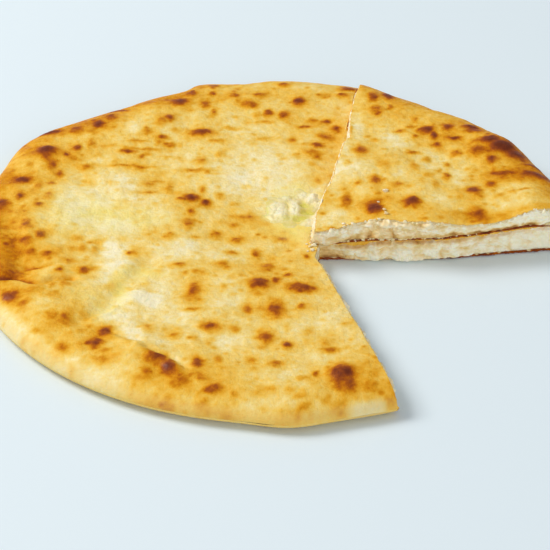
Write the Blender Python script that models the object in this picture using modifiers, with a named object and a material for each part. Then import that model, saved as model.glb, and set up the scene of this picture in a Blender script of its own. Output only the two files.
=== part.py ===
"""An Ossetian cheese pie: a flat round pie in a thin crust, cut into wedges.

One wedge is missing. Of the rest, the big piece and one slice still lie in
their places, and a second slice of the same cut rests on top of that slice.
Each of the three pieces is a shell of dough, open where the knife went, with
its own layer of curd cheese inside. Metres, +Z up, the origin is the centre of
the pie on its flat underside, -Y is the front.
"""

import math

import bmesh
import bpy
from mathutils import Vector

MM = 0.001

# The whole pie
PIE_RADIUS = 156.5 * MM
SEAM_HEIGHT = 4.6 * MM
ROUNDING_START = 0.88
LIFT_START = 0.93
CRUST = 1.5 * MM
RIM_WIDTH = 8.0 * MM
GAP = 0.3 * MM
STEPS = 90
HALF_STEP = math.pi / STEPS

# The rim is not a true circle: angle, half width (degrees), rise of the radius
RIM_SWELLS = (
    (150.0, 7.0, 4.5 * MM),
    (125.0, 9.0, -5.0 * MM),
    (112.0, 5.0, -3.5 * MM),
    (106.0, 3.0, 3.0 * MM),
    (97.0, 4.0, -3.0 * MM),
    (272.0, 6.0, 3.0 * MM),
    (35.0, 26.0, -9.5 * MM),
)

# Height of the top crust from the centre outwards: share of the radius, height
TOP_PROFILE = (
    (0.00, 9.4 * MM),
    (0.17, 9.6 * MM),
    (0.34, 11.8 * MM),
    (0.60, 12.4 * MM),
    (0.86, 13.2 * MM),
    (1.00, 13.2 * MM),
)

# Swells and hollows of the top crust: distance, angle, spread, rise
TOP_SWELLS = (
    (126.0 * MM, -3.0, 26.0 * MM, 2.3 * MM),
    (134.0 * MM, 241.0, 11.0 * MM, 2.2 * MM),
    (128.0 * MM, 199.0, 10.0 * MM, -3.0 * MM),
    (112.0 * MM, 180.0, 18.0 * MM, 1.4 * MM),
    (90.0 * MM, 192.0, 24.0 * MM, -1.2 * MM),
    (120.0 * MM, 130.0, 22.0 * MM, 1.2 * MM),
    (60.0 * MM, 255.0, 26.0 * MM, 0.8 * MM),
)

# The slice on top
UPPER_RADIUS = 139.5 * MM
UPPER_SWELLS = (
    (2.0, 15.0, 8.5 * MM),
    (55.0, 9.0, -3.0 * MM),
)
UPPER_PROFILE = (
    (0.00, 8.6 * MM),
    (0.25, 9.6 * MM),
    (0.50, 10.9 * MM),
    (0.70, 9.4 * MM),
    (0.88, 10.8 * MM),
    (1.00, 10.8 * MM),
)
UPPER_SWELL_SPOTS = ((132.0 * MM, 28.0, 12.0 * MM, 2.6 * MM),)
UPPER_SEAM = 3.6 * MM
SETTLING = 2.2 * MM

# Knife cuts: the corner where they meet, and where they leave the pie
MAIN_TIP = Vector((18.0 * MM, -30.5 * MM))
FRONT_CUT_END = Vector((54.8 * MM, -150.0 * MM))
BACK_CUT_END = Vector((45.2 * MM, 147.0 * MM))
SIDE_CUT = (
    Vector((20.6 * MM, -17.0 * MM)),
    Vector((84.0 * MM, -16.2 * MM)),
    Vector((150.0 * MM, -6.5 * MM)),
)
KNIFE_GAP = 0.7 * MM
UPPER_OVERHANG = 1.6 * MM
CUT_REACH = 200.0 * MM
CUT_DEPTH = 40.0 * MM
ARC_STEP = math.radians(6.0)
CURD_BULGE = 0.7 * MM

# The steam hole torn in the top crust, and the curd that has risen into it
VENT_CENTRE = Vector((6.0 * MM, 15.5 * MM))
VENT_RADIUS = 14.6 * MM
VENT_WAVES = ((2, 0.6, 1.2 * MM), (3, 2.1, 0.9 * MM), (5, 0.0, 0.6 * MM))
VENT_STEPS = 36
VENT_CURD_GAP = 0.8 * MM
VENT_FLOOR = 6.0 * MM
VENT_CURD_TOP = 9.0 * MM

# Rings of the turned solids: share of the radius, level (0 floor, 1 roof)
CRUST_RINGS = (0.0, 0.12, 0.25, 0.38, 0.52, 0.66, 0.78, 0.87, 0.935, 0.975)
FLOOR_RINGS = (0.975, 0.93, 0.60, 0.30, 0.0)
POCKET_ROOF_RINGS = (0.0, 0.15, 0.30, 0.47, 0.64, 0.80, 0.92, 0.985)
POCKET_FLOOR_RINGS = (0.985, 0.90, 0.45, 0.0)
POCKET_WALL = ((1.0, 0.72), (1.0, 0.28))

SHARP_ANGLE = math.radians(40.0)

# Looks: colour and roughness
DOUGH = ((0.80, 0.53, 0.21), 0.48)
DOUGH_SLICE = ((0.82, 0.55, 0.22), 0.48)
CURD = ((0.86, 0.80, 0.62), 0.62)


def clear_scene():
    """Remove whatever objects the scene holds."""
    for obj in list(bpy.data.objects):
        bpy.data.objects.remove(obj, do_unlink=True)


def collection(name):
    """A new collection linked to the scene."""
    made = bpy.data.collections.new(name)
    bpy.context.scene.collection.children.link(made)
    return made


def material(name, look):
    """A plain Principled BSDF material from a colour and a roughness."""
    colour, roughness = look
    made = bpy.data.materials.new(name)
    made.use_nodes = True
    shader = made.node_tree.nodes["Principled BSDF"]
    shader.inputs["Base Color"].default_value = (*colour, 1.0)
    shader.inputs["Roughness"].default_value = roughness
    shader.inputs["Metallic"].default_value = 0.0
    return made


def bell(distance, spread):
    """A smooth hump, 1 in the middle and near 0 at twice the spread."""
    return math.exp(-((distance / spread) ** 2))


def along_profile(profile, share):
    """Height at a share of the radius, eased between the profile's points."""
    for (near, low), (far, high) in zip(profile, profile[1:]):
        if share <= far:
            t = max(0.0, (share - near) / (far - near))
            return low + (high - low) * t * t * (3.0 - 2.0 * t)
    return profile[-1][1]


def swollen(radius, swells, angle):
    """A radius that swells and shrinks round the rim."""
    for middle, width, rise in swells:
        turn = (math.degrees(angle) - middle + 180.0) % 360.0 - 180.0
        radius += rise * bell(turn, width)
    return radius


def humps(spots, x, y):
    """Sum of the swells and hollows at a place."""
    total = 0.0
    for distance, angle, spread, rise in spots:
        turn = math.radians(angle)
        away = math.hypot(x - distance * math.cos(turn), y - distance * math.sin(turn))
        total += rise * bell(away, spread)
    return total


def pie_rim(angle):
    """Outline of the pie on the board."""
    return swollen(PIE_RADIUS, RIM_SWELLS, angle)


def upper_rim(angle):
    """Outline of the slice on top."""
    return swollen(UPPER_RADIUS, UPPER_SWELLS, angle)


def rounded(share, start):
    """1 inside the start, falling in a quarter round to 0 at the rim."""
    t = min(1.0, max(0.0, (share - start) / (1.0 - start)))
    return math.sqrt(1.0 - t * t)


def pie_floor(share, x, y):
    """Underside: flat on the board, with the lip lifting off it."""
    return SEAM_HEIGHT * (1.0 - rounded(share, LIFT_START))


def pie_roof(share, x, y):
    """Top crust of the pie, rolled down to the seam at the rim."""
    height = along_profile(TOP_PROFILE, share) + humps(TOP_SWELLS, x, y)
    return SEAM_HEIGHT + (height - SEAM_HEIGHT) * rounded(share, ROUNDING_START)


def upper_floor(share, x, y):
    """Underside of the slice on top: it has sagged onto the slice below."""
    away = math.hypot(x, y)
    below = away / pie_rim(math.atan2(y, x))
    lift = UPPER_SEAM * (1.0 - rounded(share, LIFT_START))
    return pie_roof(below, x, y) + GAP + lift


def upper_bed(share, x, y):
    """A floor sunk into the slice below, which is then cut back from it."""
    return upper_floor(share, x, y) - SETTLING


def upper_roof(share, x, y):
    """Top crust of the slice on top."""
    height = along_profile(UPPER_PROFILE, share) + humps(UPPER_SWELL_SPOTS, x, y)
    rise = UPPER_SEAM + (height - UPPER_SEAM) * rounded(share, ROUNDING_START)
    away = math.hypot(x, y)
    below = away / pie_rim(math.atan2(y, x))
    return pie_roof(below, x, y) + GAP + rise


def turned(name, home, profile, start=0.0):
    """Turn a profile of (share of the radius, level) round +Z, top to bottom."""
    mesh = bpy.data.meshes.new(name)
    across, along = math.cos(start), math.sin(start)
    points = [(share * across, share * along, level) for share, level in profile]
    edges = [(n, n + 1) for n in range(len(points) - 1)]
    mesh.from_pydata(points, edges, [])
    obj = bpy.data.objects.new(name, mesh)
    home.objects.link(obj)
    screw = obj.modifiers.new("turn", "SCREW")
    screw.angle = math.tau
    screw.steps = STEPS
    screw.render_steps = STEPS
    screw.use_merge_vertices = True
    screw.merge_threshold = 0.00001
    return as_mesh(obj)


def as_mesh(obj):
    """Replace an object by the mesh that its modifiers or its curve make."""
    bpy.context.view_layer.update()
    evaluated = obj.evaluated_get(bpy.context.evaluated_depsgraph_get())
    mesh = bpy.data.meshes.new_from_object(evaluated)
    cleaner = bmesh.new()
    cleaner.from_mesh(mesh)
    bmesh.ops.remove_doubles(cleaner, verts=cleaner.verts, dist=0.00001)
    bmesh.ops.recalc_face_normals(cleaner, faces=cleaner.faces)
    cleaner.to_mesh(mesh)
    cleaner.free()
    name = obj.name
    home = obj.users_collection[0]
    place = obj.matrix_world.copy()
    bpy.data.objects.remove(obj, do_unlink=True)
    solid = bpy.data.objects.new(name, mesh)
    solid.matrix_world = place
    home.objects.link(solid)
    return solid


def moulded(obj, rim, floor, roof, inset=0.0, skin=0.0):
    """Bend a unit disc into the pie: rim, floor and roof are its surfaces.

    inset pulls the outline in from the rim, and skin keeps the floor and the
    roof inside the crust by that thickness.
    """
    for vertex in obj.data.vertices:
        share, level = math.hypot(vertex.co.x, vertex.co.y), vertex.co.z
        angle = math.atan2(vertex.co.y, vertex.co.x)
        full = rim(angle)
        away = share * (full - inset)
        x, y = away * math.cos(angle), away * math.sin(angle)
        low = floor(away / full, x, y) + skin
        high = roof(away / full, x, y) - skin
        vertex.co = (x, y, low + level * (high - low))
    faces = bmesh.new()
    faces.from_mesh(obj.data)
    bmesh.ops.triangulate(faces, faces=faces.faces, quad_method="FIXED")
    faces.to_mesh(obj.data)
    faces.free()
    return obj


def crust_profile():
    """Outer surface of a whole pie, from the middle of the top to below."""
    top = [(share, 1.0) for share in CRUST_RINGS]
    bottom = [(share, 0.0) for share in FLOOR_RINGS]
    return top + [(1.0, 0.5)] + bottom


def pocket_profile():
    """The pocket in the dough, with a rounded wall at the rim."""
    top = [(share, 1.0) for share in POCKET_ROOF_RINGS]
    bottom = [(share, 0.0) for share in POCKET_FLOOR_RINGS]
    return top + list(POCKET_WALL) + bottom


def arc(start, end):
    """Points of the arc, far outside the pie, from one bearing to another."""
    turn = (end - start) % math.tau
    count = max(2, math.ceil(turn / ARC_STEP))
    angles = [start + turn * n / count for n in range(count + 1)]
    return [Vector((CUT_REACH * math.cos(a), CUT_REACH * math.sin(a))) for a in angles]


def beyond(start, through):
    """Where the line from start through a point meets the far arc."""
    way = (through - start).normalized()
    reach = -start.dot(way) + math.sqrt(start.dot(way) ** 2 - start.dot(start) + CUT_REACH**2)
    return start + way * reach


def sideways(line, shift):
    """Move the points of a line to its right by a shift."""
    way = (line[-1] - line[0]).normalized()
    across = Vector((way.y, -way.x))
    return [point + across * shift for point in line]


def wedge(first, last):
    """Outline from the tip along one cut, round to the left, and back by the other."""
    out_first = beyond(first[-2], first[-1])
    out_last = beyond(last[-2], last[-1])
    start = math.atan2(out_first.y, out_first.x)
    end = math.atan2(out_last.y, out_last.x)
    return list(first[:-1]) + arc(start, end) + list(reversed(last[1:-1]))


def meeting(first, last):
    """Where the starts of two straight cuts cross."""
    way = first[1] - first[0]
    other = last[1] - last[0]
    across = way.x * other.y - way.y * other.x
    apart = last[0] - first[0]
    return first[0] + way * ((apart.x * other.y - apart.y * other.x) / across)


def prism(name, home, outline, low, high):
    """An upright prism over an outline, as a cutter."""
    curve = bpy.data.curves.new(name, "CURVE")
    curve.dimensions = "2D"
    curve.fill_mode = "BOTH"
    curve.extrude = (high - low) / 2.0
    spline = curve.splines.new("POLY")
    spline.points.add(len(outline) - 1)
    for point, place in zip(spline.points, outline):
        point.co = (place.x, place.y, 0.0, 1.0)
    spline.use_cyclic_u = True
    obj = bpy.data.objects.new(name, curve)
    obj.location.z = (low + high) / 2.0
    home.objects.link(obj)
    solid = as_mesh(obj)
    solid.hide_render = True
    solid.display_type = "WIRE"
    return solid


def cut(obj, cutter, operation):
    """Add an exact Boolean to an object."""
    step = obj.modifiers.new(cutter.name, "BOOLEAN")
    step.operation = operation
    step.solver = "EXACT"
    step.object = cutter


def as_cutter(obj):
    """Mark an object as a cutter that is not part of the pie."""
    obj.hide_render = True
    obj.display_type = "WIRE"
    return obj


def vent_outline(radius):
    """The uneven torn edge of the steam hole."""
    outline = []
    for n in range(VENT_STEPS):
        angle = math.tau * n / VENT_STEPS
        reach = radius
        for waves, phase, depth in VENT_WAVES:
            reach += depth * math.sin(waves * angle + phase)
        outline.append(VENT_CENTRE + Vector((math.cos(angle), math.sin(angle))) * reach)
    return outline


def between(first, last):
    """Two cuts made to start where they cross."""
    tip = meeting(first, last)
    return [tip] + first[1:], [tip] + last[1:]


def main_cuts():
    """Cuts of the big piece and of its curd, which bulges at the open front cut."""
    back = [MAIN_TIP, BACK_CUT_END]
    front = [MAIN_TIP, FRONT_CUT_END]
    return (back, front), between(back, sideways(front, -CURD_BULGE))


def slice_cuts(overhang):
    """Cuts of a slice and of its curd, which bulges at the open front side."""
    back = sideways([MAIN_TIP, BACK_CUT_END], KNIFE_GAP)
    side = sideways(list(SIDE_CUT), overhang)
    return between(side, back), between(sideways(side, CURD_BULGE), back)


def lifted_roof(share, x, y):
    """The pie's top crust with the gap under the slice on top added."""
    return pie_roof(share, x, y) + GAP


def shell(name, home, cutters, surfaces, bed, sector, start):
    """The dough of one piece: the pie's form, hollowed out and cut to a wedge."""
    rim, floor, roof = surfaces
    pocket = turned(name + "_pocket", cutters, pocket_profile(), start)
    as_cutter(moulded(pocket, rim, floor, roof, RIM_WIDTH, CRUST))
    dough = turned(name + "_dough", home, crust_profile(), start)
    moulded(dough, rim, bed, roof)
    cut(dough, pocket, "DIFFERENCE")
    cut(dough, sector, "INTERSECT")
    return dough


def curd_layer(name, home, surfaces, sector, start):
    """The curd cheese that fills the pocket of one piece."""
    rim, floor, roof = surfaces
    curd = turned(name + "_filling", home, pocket_profile(), start)
    moulded(curd, rim, floor, roof, RIM_WIDTH + GAP, CRUST + GAP)
    cut(curd, sector, "INTERSECT")
    return curd


def piece(name, home, cutters, surfaces, bed, cuts, curd_cuts, start=0.0):
    """One piece of the pie: a shell of dough and the curd layer inside it."""
    sector = prism(name + "_sector", cutters, wedge(*cuts), -CUT_DEPTH, CUT_DEPTH)
    curd_outline = wedge(*curd_cuts)
    curd_sector = prism(name + "_curd_sector", cutters, curd_outline, -CUT_DEPTH, CUT_DEPTH)
    dough = shell(name, home, cutters, surfaces, bed, sector, start)
    curd = curd_layer(name, home, surfaces, curd_sector, start)
    return dough, curd


def open_vent(dough, curd, cutters):
    """Tear the steam hole in the top crust and let the curd rise into it."""
    hole = prism("vent", cutters, vent_outline(VENT_RADIUS), VENT_FLOOR, CUT_DEPTH)
    cut(dough, hole, "DIFFERENCE")
    outline = vent_outline(VENT_RADIUS - VENT_CURD_GAP)
    risen = prism("vent_curd", cutters, outline, VENT_FLOOR, VENT_CURD_TOP)
    cut(curd, risen, "UNION")


def settle(dough, cutters):
    """Press the underside of the slice on top to the form of the slice below."""
    below = turned("slice_below", cutters, crust_profile())
    as_cutter(moulded(below, pie_rim, pie_floor, lifted_roof))
    cut(dough, below, "DIFFERENCE")


def finish(obj, look):
    """Give a piece its material and smooth shading with crisp cut edges."""
    obj.data.materials.append(look)
    obj.data.shade_smooth()
    obj.data.set_sharp_from_angle(angle=SHARP_ANGLE)


def build():
    """The three pieces of the pie."""
    clear_scene()
    home = collection("ossetian_pie")
    cutters = collection("cutters")
    crust = material("baked_dough", DOUGH)
    slice_crust = material("baked_dough_slice", DOUGH_SLICE)
    curd = material("curd_cheese", CURD)
    pie = (pie_rim, pie_floor, pie_roof)
    upper = (upper_rim, upper_floor, upper_roof)

    cuts, curd_cuts = main_cuts()
    main_dough, main_curd = piece("main", home, cutters, pie, pie_floor, cuts, curd_cuts)
    open_vent(main_dough, main_curd, cutters)
    finish(main_dough, crust)
    finish(main_curd, curd)

    cuts, curd_cuts = slice_cuts(0.0)
    for made, look in zip(
        piece("lower_slice", home, cutters, pie, pie_floor, cuts, curd_cuts),
        (slice_crust, curd),
    ):
        finish(made, look)

    cuts, curd_cuts = slice_cuts(UPPER_OVERHANG)
    dough, filling = piece(
        "upper_slice", home, cutters, upper, upper_bed, cuts, curd_cuts, HALF_STEP
    )
    settle(dough, cutters)
    finish(dough, slice_crust)
    finish(filling, curd)


build()
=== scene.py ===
# %% [markdown]
# # An Ossetian cheese pie, cut into wedges
# A thin round of dough filled with curd cheese, baked and cut with a knife.
# The big piece and one slice lie in their places, and a second slice rests
# on top of that slice. The sizes come from the CAD model of the same pie;
# here its surfaces are made again with the relief, the baking and the torn
# edges that the simple solids leave out.

# %% Load the frame
import math
from functools import partial

import bpy
import numpy as np
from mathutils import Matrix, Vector


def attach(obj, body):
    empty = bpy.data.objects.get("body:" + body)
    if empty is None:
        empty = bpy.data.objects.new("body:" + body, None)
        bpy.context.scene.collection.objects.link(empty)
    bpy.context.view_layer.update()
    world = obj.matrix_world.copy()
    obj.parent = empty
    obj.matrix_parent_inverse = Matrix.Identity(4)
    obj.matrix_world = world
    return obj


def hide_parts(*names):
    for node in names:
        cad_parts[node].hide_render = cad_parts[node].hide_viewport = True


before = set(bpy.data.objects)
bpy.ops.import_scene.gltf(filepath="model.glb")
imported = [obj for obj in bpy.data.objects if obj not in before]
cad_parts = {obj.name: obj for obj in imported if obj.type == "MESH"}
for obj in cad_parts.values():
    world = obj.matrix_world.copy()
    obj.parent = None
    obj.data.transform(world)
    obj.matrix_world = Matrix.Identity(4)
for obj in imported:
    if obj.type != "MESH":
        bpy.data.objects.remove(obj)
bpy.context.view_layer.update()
MM = 0.001
print("nodes in the frame:", sorted(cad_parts))

# %% [markdown]
# ## Camera
# The pie is seen from the front and from above, from about a metre away
# through a long lens, so that its far rim looks almost as wide as the near
# one. A camera is aimed with a track quaternion from its place to its target.

# %% Camera
CAMERA_PLACE = Vector((-0.00129, -0.90144, 0.58078))
CAMERA_TARGET = Vector((-0.00129, -0.03118, 0.0))
LENS = 137.45
SENSOR = 36.0

camera_data = bpy.data.cameras.new("camera")
camera_data.lens = LENS
camera_data.sensor_width = SENSOR
camera_data.dof.use_dof = False
camera = bpy.data.objects.new("camera", camera_data)
bpy.context.scene.collection.objects.link(camera)
camera.location = CAMERA_PLACE
camera.rotation_mode = "QUATERNION"
camera.rotation_quaternion = (CAMERA_TARGET - CAMERA_PLACE).to_track_quat("-Z", "Y")
bpy.context.scene.camera = camera
print("camera to target:", round((CAMERA_TARGET - CAMERA_PLACE).length, 3), "m")

# %% [markdown]
# ## Numbers from chance
# Everything uneven is made from repeatable noise. `chance` gives one number
# for each cell of a lattice, `ripple` blends random slopes at the lattice
# points into soft waves, and `grains` measures how near the closest of many
# scattered points is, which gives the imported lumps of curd.


# %% Noise
def chance(i, j, seed):
    """A repeatable number from 0 to 1 for each lattice cell."""
    mixed = (i * 73856093) ^ (j * 19349663) ^ (seed * 83492791)
    mixed = (mixed ^ (mixed >> 13)) & 0xFFFFFFFF
    mixed = (mixed * 1274126177) & 0xFFFFFFFF
    mixed = (mixed ^ (mixed >> 16)) & 0xFFFFFFFF
    mixed = (mixed * 2246822519) & 0xFFFFFFFF
    mixed = mixed ^ (mixed >> 13)
    return (mixed & 0xFFFFFF) / 16777215.0


def smooth(t):
    """An ease from 0 to 1."""
    t = np.clip(t, 0.0, 1.0)
    return t * t * (3.0 - 2.0 * t)


def ripple(x, y, size, seed):
    """Soft noise from about -1 to 1, with waves of a size."""
    u, v = np.asarray(x) / size, np.asarray(y) / size
    i, j = np.floor(u).astype(np.int64), np.floor(v).astype(np.int64)
    f, g = u - i, v - j
    total = np.zeros_like(f)
    for di in (0, 1):
        for dj in (0, 1):
            turn = math.tau * chance(i + di, j + dj, seed)
            slope = np.cos(turn) * (f - di) + np.sin(turn) * (g - dj)
            total += slope * smooth(1.0 - np.abs(f - di)) * smooth(1.0 - np.abs(g - dj))
    return total * 1.7


def layered(x, y, size, seed, layers=3):
    """Several ripples, each half as wide and half as strong as the last."""
    total, strength = 0.0, 1.0
    for n in range(layers):
        total = total + strength * ripple(x, y, size / 2**n, seed + 17 * n)
        strength /= 2.0
    return total / 1.5


def scattered(x, y, size, seed):
    """The chance points round each place: their cells and how many cells away they are."""
    u, v = np.asarray(x) / size, np.asarray(y) / size
    i, j = np.floor(u).astype(np.int64), np.floor(v).astype(np.int64)
    for di in (-1, 0, 1):
        for dj in (-1, 0, 1):
            a, b = i + di, j + dj
            yield a, b, np.hypot(u - a - chance(a, b, seed), v - b - chance(a, b, seed + 7))


def grains(x, y, size, seed):
    """Packed lumps: 1 in the middle of a lump, 0 where lumps meet."""
    nearest = 3.0
    for _, _, away in scattered(x, y, size, seed):
        nearest = np.minimum(nearest, away)
    return np.clip(1.0 - nearest**2 / 0.75, 0.0, 1.0)


def specks(x, y, size, seed):
    """Small round spots of chance width and strength, one in each cell."""
    strongest = 0.0
    for a, b, away in scattered(x, y, size, seed):
        reach = 0.10 + 0.22 * chance(a, b, seed + 11)
        strength = chance(a, b, seed + 13) ** 1.5
        strongest = np.maximum(strongest, strength * np.exp(-((away / reach) ** 2)))
    return strongest


print("ripple at the centre:", round(float(ripple(0.3, 0.4, 1.0, 1)), 3))

# %% [markdown]
# ## The outline of the pie
# The outline is a circle with a few swells: direction in degrees, width in
# degrees and rise. The sizes are those of the CAD model, in millimetres,
# worked out here for whole arrays of points at once, with one more swell on
# the pie and a finer outline for the slice on top.

# %% Outline
PIE_RADIUS = 156.5
RIM_SWELLS = (
    (150, 7, 4.5), (125, 9, -5), (112, 5, -3.5), (106, 3, 3), (97, 4, -3), (272, 6, 3),
    (35, 26, -9.5), (143, 6, 2.5),
)
UPPER_RADIUS = 139.5
UPPER_RIM_SWELLS = ((2, 15, 8.5), (54, 11, -8.0), (25, 6, 3.0))


def bell(distance, spread):
    """A smooth hump, 1 in the middle and near 0 at twice the spread."""
    return np.exp(-((distance / spread) ** 2))


def swollen(radius, swells, angle):
    """A radius that swells and shrinks round the rim."""
    reach = np.full(np.shape(angle), float(radius))
    for middle, width, rise in swells:
        turn = (np.degrees(angle) - middle + 180.0) % 360.0 - 180.0
        reach += rise * bell(turn, width)
    return reach


pie_rim = partial(swollen, PIE_RADIUS, RIM_SWELLS)
upper_rim = partial(swollen, UPPER_RADIUS, UPPER_RIM_SWELLS)


def share_of(rim, x, y):
    """How far out a place is, 1 at the rim."""
    return np.hypot(x, y) / rim(np.arctan2(y, x))


print("radius at the left:", round(float(pie_rim(math.pi)), 1), "mm")

# %% [markdown]
# ## The thickness of the pie
# The thickness follows a profile from the middle outwards, with a few swells
# (distance, direction, spread and rise), and is rolled down to a seam at the
# rim. The slice on top lies on the crust of the slice below, so its heights
# are added to that crust.

# %% Thickness
SEAM = 4.6
ROUNDING_START = 0.88
LIFT_START = 0.93
CRUST = 1.5
RIM_WIDTH = 8.0
GAP = 0.3
TOP_PROFILE = ((0, 9.4), (0.17, 9.6), (0.34, 11.8), (0.60, 12.4), (0.86, 13.2), (1, 13.2))
TOP_SWELLS = (
    (126, -3, 26, 2.3), (134, 241, 11, 2.2), (128, 199, 10, -3), (112, 180, 18, 1.4),
    (90, 192, 24, -1.2), (120, 130, 22, 1.2), (60, 255, 26, 0.8),
)
UPPER_PROFILE = ((0, 8.6), (0.25, 9.6), (0.5, 10.9), (0.7, 9.4), (0.88, 10.8), (1, 10.8))
UPPER_SWELLS = ((132, 28, 12, 2.6),)
UPPER_SEAM = 3.6


def eased(profile, share):
    """Height at a share of the radius, eased between the profile's points."""
    height = np.full(np.shape(share), float(profile[0][1]))
    for (near, low), (far, high) in zip(profile, profile[1:]):
        height += (high - low) * smooth((share - near) / (far - near))
    return height


def humps(spots, x, y):
    """Sum of the swells and hollows at each place."""
    total = np.zeros(np.shape(x))
    for distance, angle, spread, rise in spots:
        turn = math.radians(angle)
        away = np.hypot(x - distance * math.cos(turn), y - distance * math.sin(turn))
        total += rise * bell(away, spread)
    return total


def rounded(share, start):
    """1 inside the start, falling in a quarter round to 0 at the rim."""
    t = np.clip((share - start) / (1.0 - start), 0.0, 1.0)
    return np.sqrt(1.0 - t * t)


def pie_base(x, y):
    """Underside: flat on the table, with the lip lifting off it."""
    return SEAM * (1.0 - rounded(share_of(pie_rim, x, y), LIFT_START))


def rolled(x, y, rim, profile, swells, seam):
    """Height of a top crust that is rolled down to its seam."""
    share = share_of(rim, x, y)
    height = eased(profile, share) + humps(swells, x, y)
    return seam + (height - seam) * rounded(share, ROUNDING_START)


def pie_top(x, y):
    """Top crust of the pie on the table."""
    return rolled(x, y, pie_rim, TOP_PROFILE, TOP_SWELLS, SEAM)


def upper_base(x, y):
    """Underside of the slice on top, sagged onto the slice below."""
    lift = UPPER_SEAM * (1.0 - rounded(share_of(upper_rim, x, y), LIFT_START))
    return pie_top(x, y) + GAP + lift


def upper_top(x, y):
    """Top crust of the slice on top."""
    rise = rolled(x, y, upper_rim, UPPER_PROFILE, UPPER_SWELLS, UPPER_SEAM)
    return pie_top(x, y) + GAP + rise


print("thickness at the middle:", round(float(pie_top(1.0, 1.0)), 2), "mm")

# %% [markdown]
# ## Where the oven has browned it
# Steam lifts thin blisters in the top crust, and the hot oven roof scorches
# them first. Each blister is written down as its place, its half sizes and
# how dark it is. The list is in millimetres from the middle of the pie.

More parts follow.
